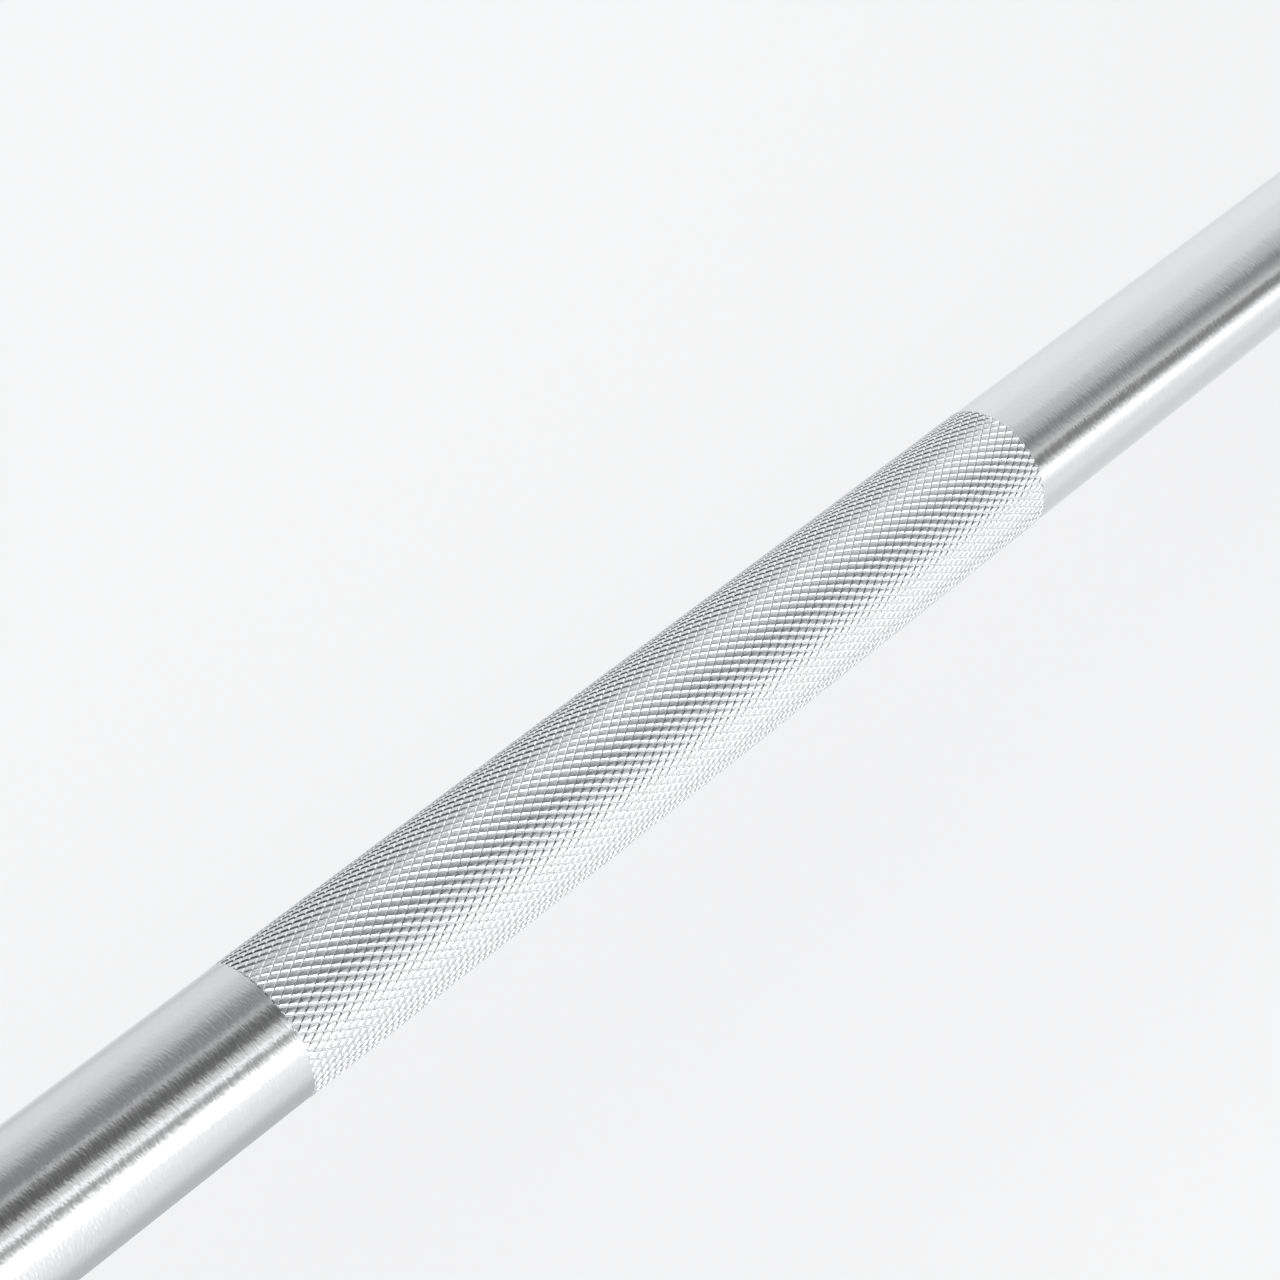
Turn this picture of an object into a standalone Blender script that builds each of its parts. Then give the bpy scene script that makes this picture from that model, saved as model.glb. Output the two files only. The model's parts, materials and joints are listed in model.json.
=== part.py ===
"""Fixed barbell: a knurled steel shaft with a bolted, rubber-cased twelve-sided weight head on each end.

Units are metres. The shaft lies along X with the barbell's centre at the origin, and +Z is up.
Each end is modelled once in its own frame, whose Z runs outwards along the shaft, and hangs on an empty
that turns it to face right (+X) or left (-X). Heights below are distances from the centre of the shaft.
"""

import math

import bmesh
import bpy

# Gap that pieces keep where they seat on each other, and the same gap all round a shaft in its bore.
SEAT_GAP = 0.0003

# Shaft: plain between the knurls, turned down to a spigot at each end.
SHAFT_DIAMETER = 0.028
SHOULDER_HEIGHT = 0.480
SHOULDER_CHAMFER = 0.0005
SPIGOT_DIAMETER = 0.024
SPIGOT_CHAMFER = 0.0015
KNURL_RISE = 0.00015
KNURL_RUNOUT = 0.0010
CENTRE_KNURL_LENGTH = 0.200
GRIP_KNURL_START = 0.230
GRIP_KNURL_LENGTH = 0.200

# Tapped hole in the end of the spigot, and the bolt that runs into it.
BOLT_DIAMETER = 0.016
BOLT_LENGTH = 0.040
BOLT_HEAD_DIAMETER = 0.024
BOLT_HEAD_DEPTH = 0.016
BOLT_SOCKET_WIDTH = 0.014
BOLT_SOCKET_DEPTH = 0.008
BOLT_EDGE = 0.001
TAPPED_HOLE_SPARE = 0.006
TAPPED_HOLE_MOUTH = 0.001
DRILL_POINT_SLOPE = 0.6

# Inner collar: a nose that takes the spring pin, a body, and a flange that backs the head.
COLLAR_NOSE_DIAMETER = 0.040
COLLAR_NOSE_LENGTH = 0.016
COLLAR_BODY_DIAMETER = 0.048
COLLAR_TAPER_LENGTH = 0.003
COLLAR_FLANGE_DIAMETER = 0.072
COLLAR_FLANGE_DEPTH = 0.009
COLLAR_LENGTH = 0.032
COLLAR_EDGE = 0.0015

# Slotted spring pin that locks the collar to the spigot.
SPRING_PIN_DIAMETER = 0.006
SPRING_PIN_WALL = 0.0012
SPRING_PIN_SLOT = 0.0012
SPRING_PIN_RECESS = 0.0008

# Drive dowels between the collar's flange and the core, which stop the head turning.
DOWEL_DIAMETER = 0.008
DOWEL_IN_COLLAR = 0.006
DOWEL_IN_CORE = 0.014
DOWEL_INSIDE_HUB = 0.004
DOWEL_CHAMFER = 0.0008

# Weight head: a twelve-sided iron core in a rubber casing of even wall.
HEAD_SIDES = 12
CORE_ACROSS_FLATS = 0.160
CORE_DEPTH = 0.044
CORE_EDGE = 0.003
HUB_DIAMETER = 0.064
CASING_WALL = 0.008
CASING_EDGE = 0.006
PANEL_DEPTH = 0.002
PANEL_RIM_WIDTH = 0.014
PANEL_SLOPE = 0.0015
OUTER_PANEL_HUB_WIDTH = 0.006
INNER_PANEL_HUB_WIDTH = 0.006

# Washers under the bolt head, in the core's counterbore.
WASHER_DIAMETER = 0.040
WASHER_DEPTH = 0.004
WASHER_EDGE = 0.0005
WASHER_BORE_CLEARANCE = 0.0005
LOCK_WASHER_WIDTH = 0.0048
LOCK_WASHER_DEPTH = 0.0035
LOCK_WASHER_SLOT = 0.0016
COUNTERBORE_CLEARANCE = 0.002
SPIGOT_SHORT_OF_SEAT = 0.003
AIR_OVER_BOLT = 0.001

# End cap, let into the casing and screwed to the core.
CAP_DIAMETER = 0.084
CAP_DEPTH = 0.005
CAP_EDGE = 0.0015
CAP_DISH_DIAMETER = 0.044
CAP_DISH_DEPTH = 0.0012
CAP_DISH_SLOPE = 0.002
CAP_SCREW_COUNT = 3

# Countersunk cap screws.
SCREW_DIAMETER = 0.005
SCREW_HEAD_DIAMETER = 0.0095
SCREW_HEAD_DEPTH = 0.0028
SCREW_HEAD_BELOW_CAP = 0.0002
SCREW_LENGTH = 0.014
SCREW_SOCKET_WIDTH = 0.003
SCREW_SOCKET_DEPTH = 0.0018

# Facets round the turned pieces and in their fillets.
LARGE_FACETS = 36
BOLT_FACETS = 24
SMALL_FACETS = 16
FILLET_SEGMENTS = 2

# How far a cutter runs past the surface that it cuts.
CUT_PAST = 0.002

# Heights and radii that follow from the sizes above.
SHAFT_RADIUS = SHAFT_DIAMETER / 2
SPIGOT_RADIUS = SPIGOT_DIAMETER / 2
COLLAR_START = SHOULDER_HEIGHT + SEAT_GAP
COLLAR_END = COLLAR_START + COLLAR_LENGTH
CASING_START = COLLAR_END + SEAT_GAP
CORE_START = CASING_START + CASING_WALL
CORE_END = CORE_START + CORE_DEPTH
CASING_END = CORE_END + CASING_WALL
CASING_ACROSS_FLATS = CORE_ACROSS_FLATS + 2 * CASING_WALL
DOWEL_CIRCLE_RADIUS = (HUB_DIAMETER - DOWEL_DIAMETER) / 2 - DOWEL_INSIDE_HUB
COUNTERBORE_RADIUS = WASHER_DIAMETER / 2 + COUNTERBORE_CLEARANCE
CAP_SCREW_CIRCLE_RADIUS = (COUNTERBORE_RADIUS + CAP_DIAMETER / 2) / 2
BOLT_STACK = WASHER_DEPTH + LOCK_WASHER_DEPTH + BOLT_HEAD_DEPTH + 3 * SEAT_GAP
WASHER_SEAT = CORE_END - BOLT_STACK - AIR_OVER_BOLT
SPIGOT_END = WASHER_SEAT - SPIGOT_SHORT_OF_SEAT
WASHER_START = WASHER_SEAT + SEAT_GAP
LOCK_WASHER_START = WASHER_START + WASHER_DEPTH + SEAT_GAP
BOLT_HEAD_START = LOCK_WASHER_START + LOCK_WASHER_DEPTH + SEAT_GAP
BOLT_TIP = BOLT_HEAD_START - BOLT_LENGTH
TAPPED_HOLE_RADIUS = BOLT_DIAMETER / 2 + SEAT_GAP
TAPPED_HOLE_END = BOLT_TIP - TAPPED_HOLE_SPARE
SPRING_PIN_HEIGHT = COLLAR_START + COLLAR_NOSE_LENGTH / 2
CAP_START = CORE_END + SEAT_GAP
CAP_END = CAP_START + CAP_DEPTH
SCREW_TOP = CAP_END - SCREW_HEAD_BELOW_CAP


def clear_scene():
    """Removes the startup objects, so that only the barbell is left."""
    for obj in list(bpy.data.objects):
        bpy.data.objects.remove(obj)


def new_collection(name):
    """A collection in the scene, which holds one kind of object."""
    collection = bpy.data.collections.new(name)
    bpy.context.scene.collection.children.link(collection)
    return collection


def new_material(name, colour, roughness, metallic):
    """A Principled material of one colour."""
    material = bpy.data.materials.new(name)
    material.use_nodes = True
    shader = material.node_tree.nodes["Principled BSDF"]
    shader.inputs["Base Color"].default_value = (*colour, 1.0)
    shader.inputs["Roughness"].default_value = roughness
    shader.inputs["Metallic"].default_value = metallic
    material.diffuse_color = (*colour, 1.0)
    return material


clear_scene()
PARTS = new_collection("fixed_barbell")
CUTTERS = new_collection("cutters")
CHROMED_STEEL = new_material("chromed_steel", (0.78, 0.79, 0.80), 0.22, 1.0)
BRIGHT_STEEL = new_material("bright_steel", (0.72, 0.73, 0.74), 0.28, 1.0)
CAST_IRON = new_material("cast_iron", (0.16, 0.16, 0.165), 0.65, 1.0)
BLACK_RUBBER = new_material("black_rubber", (0.022, 0.022, 0.024), 0.62, 0.0)
ZINC_STEEL = new_material("zinc_steel", (0.62, 0.63, 0.65), 0.35, 1.0)
SPRING_STEEL = new_material("spring_steel", (0.30, 0.30, 0.31), 0.42, 1.0)


def add_object(name, mesh, parent, material=None):
    """Puts a mesh in the scene as a part, or as a cutter where it has no material."""
    obj = bpy.data.objects.new(name, mesh)
    if material is None:
        CUTTERS.objects.link(obj)
        obj.hide_render = True
        obj.display_type = "WIRE"
    else:
        PARTS.objects.link(obj)
        mesh.materials.append(material)
    obj.parent = parent
    return obj


def rounded(corners, closed):
    """Outline of (radius, height) points from corners (radius, height, fillet), each fillet drawn as an arc."""
    outline = []
    count = len(corners)
    for index, (radius, height, fillet) in enumerate(corners):
        at_end = not closed and index in (0, count - 1)
        if fillet == 0 or at_end:
            outline.append((radius, height))
            continue
        before = corners[index - 1]
        after = corners[(index + 1) % count]
        angle_in = math.atan2(before[1] - height, before[0] - radius)
        angle_out = math.atan2(after[1] - height, after[0] - radius)
        half_angle = abs((angle_out - angle_in + math.pi) % (2 * math.pi) - math.pi) / 2
        tangent = fillet / math.tan(half_angle)
        to_centre = fillet / math.sin(half_angle)
        middle = math.atan2(
            math.sin(angle_in) + math.sin(angle_out),
            math.cos(angle_in) + math.cos(angle_out),
        )
        centre = (radius + to_centre * math.cos(middle), height + to_centre * math.sin(middle))
        start = (radius + tangent * math.cos(angle_in), height + tangent * math.sin(angle_in))
        end = (radius + tangent * math.cos(angle_out), height + tangent * math.sin(angle_out))
        start_angle = math.atan2(start[1] - centre[1], start[0] - centre[0])
        end_angle = math.atan2(end[1] - centre[1], end[0] - centre[0])
        sweep = (end_angle - start_angle + math.pi) % (2 * math.pi) - math.pi
        for step in range(FILLET_SEGMENTS + 1):
            angle = start_angle + sweep * step / FILLET_SEGMENTS
            outline.append((centre[0] + fillet * math.cos(angle), centre[1] + fillet * math.sin(angle)))
    return outline


def turned(name, corners, parent, material=None, closed=True, facets=LARGE_FACETS):
    """A turned piece: an outline that runs down its outer side, revolved about Z by a Screw modifier.

    A closed outline makes a ring with a bore, and an open one starts and ends on the axis.
    """
    outline = rounded(corners, closed)
    mesh = bpy.data.meshes.new(name)
    edges = [(index, index + 1) for index in range(len(outline) - 1)]
    if closed:
        edges.append((len(outline) - 1, 0))
    mesh.from_pydata([(radius, 0.0, height) for radius, height in outline], edges, [])
    obj = add_object(name, mesh, parent, material)
    screw = obj.modifiers.new("Turn", "SCREW")
    screw.axis = "Z"
    screw.steps = facets
    screw.render_steps = facets
    screw.use_merge_vertices = True
    screw.merge_threshold = 0.00001
    return obj


def cylinder(name, radius, bottom, top, parent, material=None, facets=SMALL_FACETS, place=(0.0, 0.0), turn=0.0):
    """A cylinder or prism along Z from bottom to top, centred on place."""
    mesh = bpy.data.meshes.new(name)
    form = bmesh.new()
    bmesh.ops.create_cone(
        form,
        cap_ends=True,
        segments=facets,
        radius1=radius,
        radius2=radius,
        depth=top - bottom,
    )
    form.to_mesh(mesh)
    form.free()
    obj = add_object(name, mesh, parent, material)
    obj.location = (place[0], place[1], (bottom + top) / 2)
    obj.rotation_euler = (0.0, 0.0, turn)
    return obj


def box(name, size, place, parent, material=None, turn=0.0):
    """A block of a given size, centred on place and turned about Z."""
    mesh = bpy.data.meshes.new(name)
    form = bmesh.new()
    bmesh.ops.create_cube(form, size=1.0)
    bmesh.ops.scale(form, vec=size, verts=form.verts)
    form.to_mesh(mesh)
    form.free()
    obj = add_object(name, mesh, parent, material)
    obj.location = place
    obj.rotation_euler = (0.0, 0.0, turn)
    return obj


def combine(obj, other, operation):
    """Joins another solid to obj, or cuts it away, with a Boolean modifier."""
    boolean = obj.modifiers.new(operation.title(), "BOOLEAN")
    boolean.operation = operation
    boolean.solver = "EXACT"
    boolean.object = other
    return obj


def cut(obj, *cutters):
    """Cuts each cutter out of obj."""
    for cutter in cutters:
        combine(obj, cutter, "DIFFERENCE")
    return obj


def shade_round(obj, sharp_from=math.radians(32)):
    """Applies the modifiers and shades the piece smooth, apart from its true edges."""
    bpy.context.view_layer.update()
    graph = bpy.context.evaluated_depsgraph_get()
    mesh = bpy.data.meshes.new_from_object(obj.evaluated_get(graph))
    old = obj.data
    obj.modifiers.clear()
    obj.data = mesh
    bpy.data.meshes.remove(old)
    mesh.name = obj.name
    mesh.shade_smooth()
    mesh.set_sharp_from_angle(angle=sharp_from)
    return obj


def prism_radius(across_flats):
    """Corner radius of a head-shaped prism of this width across its flats."""
    return across_flats / 2 / math.cos(math.pi / HEAD_SIDES)


def head_prism(name, across_flats, bottom, top, parent, material=None, edge=0.0):
    """A twelve-sided prism that stands on a flat, with rounded edges where edge is given."""
    obj = cylinder(
        name,
        prism_radius(across_flats),
        bottom,
        top,
        parent,
        material,
        facets=HEAD_SIDES,
        turn=math.pi / HEAD_SIDES,
    )
    if edge:
        bevel = obj.modifiers.new("Edges", "BEVEL")
        bevel.width = edge
        bevel.segments = FILLET_SEGMENTS
        bevel.limit_method = "ANGLE"
        bevel.angle_limit = math.radians(20)
    return obj


def hex_socket(name, across_flats, bottom, top, parent, place=(0.0, 0.0)):
    """Cutter for a hexagon socket."""
    radius = across_flats / 2 / math.cos(math.pi / 6)
    return cylinder(name, radius, bottom, top, parent, facets=6, place=place)


def shaft_frame(name, heading):
    """An empty at the shaft's middle whose Z runs along the shaft, with its -X up, turned to a heading."""
    empty = bpy.data.objects.new(name, None)
    PARTS.objects.link(empty)
    empty.rotation_euler = (0.0, math.pi / 2, heading)
    return empty


def shaft_half_corners():
    """Corners of half the shaft's outline, from its middle out to the bottom of the tapped hole."""
    knurl_radius = SHAFT_RADIUS + KNURL_RISE
    centre_end = CENTRE_KNURL_LENGTH / 2
    grip_end = GRIP_KNURL_START + GRIP_KNURL_LENGTH
    hole_tip = TAPPED_HOLE_END - DRILL_POINT_SLOPE * TAPPED_HOLE_RADIUS
    return [
        (knurl_radius, centre_end - KNURL_RUNOUT, 0.0),
        (SHAFT_RADIUS, centre_end, 0.0),
        (SHAFT_RADIUS, GRIP_KNURL_START, 0.0),
        (knurl_radius, GRIP_KNURL_START + KNURL_RUNOUT, 0.0),
        (knurl_radius, grip_end - KNURL_RUNOUT, 0.0),
        (SHAFT_RADIUS, grip_end, 0.0),
        (SHAFT_RADIUS, SHOULDER_HEIGHT - SHOULDER_CHAMFER, 0.0),
        (SHAFT_RADIUS - SHOULDER_CHAMFER, SHOULDER_HEIGHT, 0.0),
        (SPIGOT_RADIUS, SHOULDER_HEIGHT, 0.0),
        (SPIGOT_RADIUS, SPIGOT_END - SPIGOT_CHAMFER, 0.0),
        (SPIGOT_RADIUS - SPIGOT_CHAMFER, SPIGOT_END, 0.0),
        (TAPPED_HOLE_RADIUS + TAPPED_HOLE_MOUTH, SPIGOT_END, 0.0),
        (TAPPED_HOLE_RADIUS, SPIGOT_END - TAPPED_HOLE_MOUTH, 0.0),
        (TAPPED_HOLE_RADIUS, TAPPED_HOLE_END, 0.0),
        (0.0, hole_tip, 0.0),
    ]


def make_shaft(ends):
    """The shaft, with its three knurled bands, its spigots and the cross holes for the spring pins."""
    half = shaft_half_corners()
    corners = half[::-1] + [(radius, -height, fillet) for radius, height, fillet in half]
    frame = shaft_frame("shaft_axis", 0.0)
    shaft = turned("shaft", corners, frame, CHROMED_STEEL, closed=False)
    for end in ends:
        hole = pin_hole_cutter(f"{end.name}_shaft_pin_hole", end, SHAFT_RADIUS + CUT_PAST)
        cut(shaft, hole)
    return shade_round(shaft)


def pin_hole_cutter(name, end, reach):
    """Cutter for the spring pin's hole, which runs across the shaft."""
    hole = cylinder(name, SPRING_PIN_DIAMETER / 2 + SEAT_GAP, -reach, reach, end)
    hole.location = (0.0, 0.0, SPRING_PIN_HEIGHT)
    hole.rotation_euler = (0.0, math.pi / 2, 0.0)
    return hole


def dowel_places():
    """Centres of the two drive dowels, on opposite sides of the shaft."""
    return [(0.0, DOWEL_CIRCLE_RADIUS), (0.0, -DOWEL_CIRCLE_RADIUS)]


def make_collar(side, end):
    """Inner collar: the nose for the spring pin, the body, and the flange that backs the head."""
    bore = SPIGOT_RADIUS + SEAT_GAP
    flange_start = COLLAR_END - COLLAR_FLANGE_DEPTH
    nose_end = COLLAR_START + COLLAR_NOSE_LENGTH
    collar = turned(
        f"{side}_collar",
        [
            (bore, COLLAR_END, 0.0),
            (COLLAR_FLANGE_DIAMETER / 2, COLLAR_END, COLLAR_EDGE),
            (COLLAR_FLANGE_DIAMETER / 2, flange_start, COLLAR_EDGE),
            (COLLAR_BODY_DIAMETER / 2, flange_start, COLLAR_EDGE),
            (COLLAR_BODY_DIAMETER / 2, nose_end + COLLAR_TAPER_LENGTH, 0.0),
            (COLLAR_NOSE_DIAMETER / 2, nose_end, 0.0),
            (COLLAR_NOSE_DIAMETER / 2, COLLAR_START, COLLAR_EDGE),
            (bore, COLLAR_START, 0.0),
        ],
        end,
        BRIGHT_STEEL,
    )
    cut(collar, pin_hole_cutter(f"{side}_collar_pin_hole", end, COLLAR_FLANGE_DIAMETER / 2))
    for number, place in enumerate(dowel_places(), start=1):
        pocket = cylinder(
            f"{side}_collar_dowel_hole_{number}",
            DOWEL_DIAMETER / 2 + SEAT_GAP,
            COLLAR_END - DOWEL_IN_COLLAR - SEAT_GAP,
            COLLAR_END + CUT_PAST,
            end,
            place=place,
        )
        cut(collar, pocket)
    return shade_round(collar)


def make_spring_pin(side, end):
    """Slotted spring pin, driven across the collar and the spigot."""
    half_length = COLLAR_NOSE_DIAMETER / 2 - SPRING_PIN_RECESS
    outer = SPRING_PIN_DIAMETER / 2
    inner = outer - SPRING_PIN_WALL
    frame = bpy.data.objects.new(f"{side}_spring_pin_axis", None)
    PARTS.objects.link(frame)
    frame.parent = end
    frame.location = (0.0, 0.0, SPRING_PIN_HEIGHT)
    frame.rotation_euler = (0.0, math.pi / 2, 0.0)
    pin = turned(
        f"{side}_spring_pin",
        [
            (inner, half_length, 0.0),
            (outer - SPRING_PIN_WALL / 2, half_length, 0.0),
            (outer, half_length - SPRING_PIN_WALL, 0.0),
            (outer, SPRING_PIN_WALL - half_length, 0.0),
            (outer - SPRING_PIN_WALL / 2, -half_length, 0.0),
            (inner, -half_length, 0.0),
        ],
        frame,
        SPRING_STEEL,
        facets=SMALL_FACETS,
    )
    slot_size = (SPRING_PIN_DIAMETER, SPRING_PIN_SLOT, 2 * half_length + 2 * CUT_PAST)
    slot = box(f"{side}_spring_pin_slot", slot_size, (outer, 0.0, 0.0), frame)
    return shade_round(cut(pin, slot))


def make_dowels(side, end):
    """The two drive dowels, half in the collar's flange and half in the core's hub."""
    radius = DOWEL_DIAMETER / 2
    bottom = COLLAR_END - DOWEL_IN_COLLAR
    top = CASING_START + DOWEL_IN_CORE
    for number, (x, y) in enumerate(dowel_places(), start=1):
        dowel = turned(
            f"{side}_drive_dowel_{number}",
            [
                (0.0, top, 0.0),
                (radius - DOWEL_CHAMFER, top, 0.0),
                (radius, top - DOWEL_CHAMFER, 0.0),
                (radius, bottom + DOWEL_CHAMFER, 0.0),
                (radius - DOWEL_CHAMFER, bottom, 0.0),
                (0.0, bottom, 0.0),
            ],
            end,
            BRIGHT_STEEL,
            closed=False,
            facets=SMALL_FACETS,
        )
        dowel.location = (x, y, 0.0)
        shade_round(dowel)


def cap_screw_places():
    """Centres of the cap screws, evenly spaced halfway between the counterbore and the cap's edge."""
    places = []
    for number in range(CAP_SCREW_COUNT):
        angle = math.pi + 2 * math.pi * number / CAP_SCREW_COUNT
        places.append((CAP_SCREW_CIRCLE_RADIUS * math.cos(angle), CAP_SCREW_CIRCLE_RADIUS * math.sin(angle)))
    return places


def make_core(side, end):
    """Cast iron core: the disc, its hub against the collar, the bolt's counterbore and the tapped holes."""
    core = head_prism(f"{side}_weight_core", CORE_ACROSS_FLATS, CORE_START, CORE_END, end, CAST_IRON, CORE_EDGE)
    hub = cylinder(
        f"{side}_core_hub",
        HUB_DIAMETER / 2,
        CASING_START,
        CORE_START + CUT_PAST,
        end,
        facets=LARGE_FACETS,
    )
    combine(core, hub, "UNION")
    bore = cylinder(
        f"{side}_core_bore",
        SPIGOT_RADIUS + SEAT_GAP,
        CASING_START - CUT_PAST,
        CORE_END + CUT_PAST,
        end,
        facets=LARGE_FACETS,
    )
    counterbore = cylinder(
        f"{side}_core_counterbore",
        COUNTERBORE_RADIUS,
        WASHER_SEAT,
        CORE_END + CUT_PAST,
        end,
        facets=LARGE_FACETS,
    )
    cut(core, bore, counterbore)
    for number, place in enumerate(dowel_places(), start=1):
        pocket = cylinder(
            f"{side}_core_dowel_hole_{number}",
            DOWEL_DIAMETER / 2 + SEAT_GAP,
            CASING_START - CUT_PAST,
            CASING_START + DOWEL_IN_CORE + SEAT_GAP,
            end,
            place=place,
        )
        cut(core, pocket)
    for number, place in enumerate(cap_screw_places(), start=1):
        hole = cylinder(
            f"{side}_core_screw_hole_{number}",
            SCREW_DIAMETER / 2 + SEAT_GAP,
            SCREW_TOP - SCREW_LENGTH - SCREW_DIAMETER / 2,
            CORE_END + CUT_PAST,
            end,
            place=place,
        )
        cut(core, hole)
    return shade_round(core)


def panel_cutter(name, face, outward, hub_radius, end):
    """Ring that sinks a flat panel with sloped sides into one face of the casing."""
    rim_radius = CASING_ACROSS_FLATS / 2 - PANEL_RIM_WIDTH
    floor = face - outward * PANEL_DEPTH
    above = face + outward * CUT_PAST
    rise = (PANEL_DEPTH + CUT_PAST) / PANEL_DEPTH * PANEL_SLOPE
    corners = [
        (hub_radius + PANEL_SLOPE - rise, above, 0.0),
        (rim_radius - PANEL_SLOPE + rise, above, 0.0),
        (rim_radius - PANEL_SLOPE, floor, 0.0),
        (hub_radius + PANEL_SLOPE, floor, 0.0),
    ]
    if outward < 0:
        corners = corners[::-1]
    return turned(name, corners, end, facets=LARGE_FACETS)


def make_casing(side, end):
    """Rubber casing: a shell of even wall round the core, open at the hub and under the end cap."""
    casing = head_prism(
        f"{side}_weight_casing", CASING_ACROSS_FLATS, CASING_START, CASING_END, end, BLACK_RUBBER, CASING_EDGE
    )
    hollow = head_prism(
        f"{side}_casing_hollow",
        CORE_ACROSS_FLATS + 2 * SEAT_GAP,
        CORE_START - SEAT_GAP,
        CORE_END + SEAT_GAP,
        end,
        edge=CORE_EDGE,
    )
    hub_opening = cylinder(
        f"{side}_casing_hub_opening",
        HUB_DIAMETER / 2 + SEAT_GAP,
        CASING_START - CUT_PAST,
        CORE_START + CUT_PAST,
        end,
        facets=LARGE_FACETS,
    )
    cap_opening = cylinder(
        f"{side}_casing_cap_opening",
        CAP_DIAMETER / 2 + SEAT_GAP,
        CORE_END - CUT_PAST,
        CASING_END + CUT_PAST,
        end,
        facets=LARGE_FACETS,
    )
    inner_panel = panel_cutter(
        f"{side}_inner_panel",
        CASING_START,
        -1,
        COLLAR_FLANGE_DIAMETER / 2 + INNER_PANEL_HUB_WIDTH,
        end,
    )
    outer_panel = panel_cutter(
        f"{side}_outer_panel",
        CASING_END,
        1,
        CAP_DIAMETER / 2 + OUTER_PANEL_HUB_WIDTH,
        end,
    )
    cut(casing, hollow, hub_opening, cap_opening, inner_panel, outer_panel)
    return shade_round(casing)


def make_washers(side, end):
    """Plain washer and split lock washer under the bolt head."""
    bore = BOLT_DIAMETER / 2 + WASHER_BORE_CLEARANCE
    washer_top = WASHER_START + WASHER_DEPTH
    washer = turned(
        f"{side}_washer",
        [
            (bore, washer_top, 0.0),
            (WASHER_DIAMETER / 2 - WASHER_EDGE, washer_top, 0.0),
            (WASHER_DIAMETER / 2, washer_top - WASHER_EDGE, 0.0),
            (WASHER_DIAMETER / 2, WASHER_START, 0.0),
            (bore, WASHER_START, 0.0),
        ],
        end,
        ZINC_STEEL,
        facets=BOLT_FACETS,
    )
    shade_round(washer)
    lock_top = LOCK_WASHER_START + LOCK_WASHER_DEPTH
    lock_washer = turned(
        f"{side}_lock_washer",
        [
            (bore, lock_top, 0.0),
            (bore + LOCK_WASHER_WIDTH, lock_top, 0.0),
            (bore + LOCK_WASHER_WIDTH, LOCK_WASHER_START, 0.0),
            (bore, LOCK_WASHER_START, 0.0),
        ],
        end,
        SPRING_STEEL,
        facets=BOLT_FACETS,
    )
    slot_size = (2 * LOCK_WASHER_WIDTH, LOCK_WASHER_SLOT, 2 * LOCK_WASHER_DEPTH)
    slot_place = (bore + LOCK_WASHER_WIDTH / 2, 0.0, LOCK_WASHER_START + LOCK_WASHER_DEPTH / 2)
    slot = box(f"{side}_lock_washer_slot", slot_size, slot_place, end)
    slot.rotation_euler = (math.radians(25), 0.0, 0.0)
    shade_round(cut(lock_washer, slot))


def make_end_bolt(side, end):
    """Socket head bolt that clamps the head against the collar."""
    shank = BOLT_DIAMETER / 2
    head = BOLT_HEAD_DIAMETER / 2
    head_top = BOLT_HEAD_START + BOLT_HEAD_DEPTH
    bolt = turned(
        f"{side}_end_bolt",
        [
            (0.0, head_top, 0.0),
            (head, head_top, BOLT_EDGE),
            (head, BOLT_HEAD_START, 0.0),
            (shank, BOLT_HEAD_START, 0.0),
            (shank, BOLT_TIP + BOLT_EDGE, 0.0),
            (shank - BOLT_EDGE, BOLT_TIP, 0.0),
            (0.0, BOLT_TIP, 0.0),
        ],
        end,
        ZINC_STEEL,
        closed=False,
        facets=BOLT_FACETS,
    )
    socket = hex_socket(
        f"{side}_end_bolt_socket",
        BOLT_SOCKET_WIDTH,
        head_top - BOLT_SOCKET_DEPTH,
        head_top + CUT_PAST,
        end,
    )
    return shade_round(cut(bolt, socket))


def screw_head_corners(margin, top):
    """Outer corners of a countersunk head, from its top down to the shank, grown by margin."""
    return [
        (SCREW_HEAD_DIAMETER / 2 + margin, top, 0.0),
        (SCREW_HEAD_DIAMETER / 2 + margin, SCREW_TOP - SEAT_GAP, 0.0),
        (SCREW_DIAMETER / 2 + margin, SCREW_TOP - SCREW_HEAD_DEPTH, 0.0),
    ]


def make_end_cap(side, end):
    """End cap: a turned disc, dished in the middle, with countersunk holes for its screws."""
    radius = CAP_DIAMETER / 2
    dish = CAP_DISH_DIAMETER / 2
    cap = turned(
        f"{side}_end_cap",
        [
            (0.0, CAP_END - CAP_DISH_DEPTH, 0.0),
            (dish - CAP_DISH_SLOPE, CAP_END - CAP_DISH_DEPTH, 0.0),
            (dish, CAP_END, 0.0),
            (radius, CAP_END, CAP_EDGE),
            (radius, CAP_START, 0.0),
            (0.0, CAP_START, 0.0),
        ],
        end,
        CHROMED_STEEL,
        closed=False,
    )
    for number, (x, y) in enumerate(cap_screw_places(), start=1):
        top = CAP_END + CUT_PAST
        bottom = CAP_START - CUT_PAST
        corners = [(0.0, top, 0.0)] + screw_head_corners(SEAT_GAP, top)
        corners += [(SCREW_DIAMETER / 2 + SEAT_GAP, bottom, 0.0), (0.0, bottom, 0.0)]
        hole = turned(f"{side}_cap_screw_hole_{number}", corners, end, closed=False, facets=SMALL_FACETS)
        hole.location = (x, y, 0.0)
        cut(cap, hole)
    return shade_round(cap)


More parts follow.
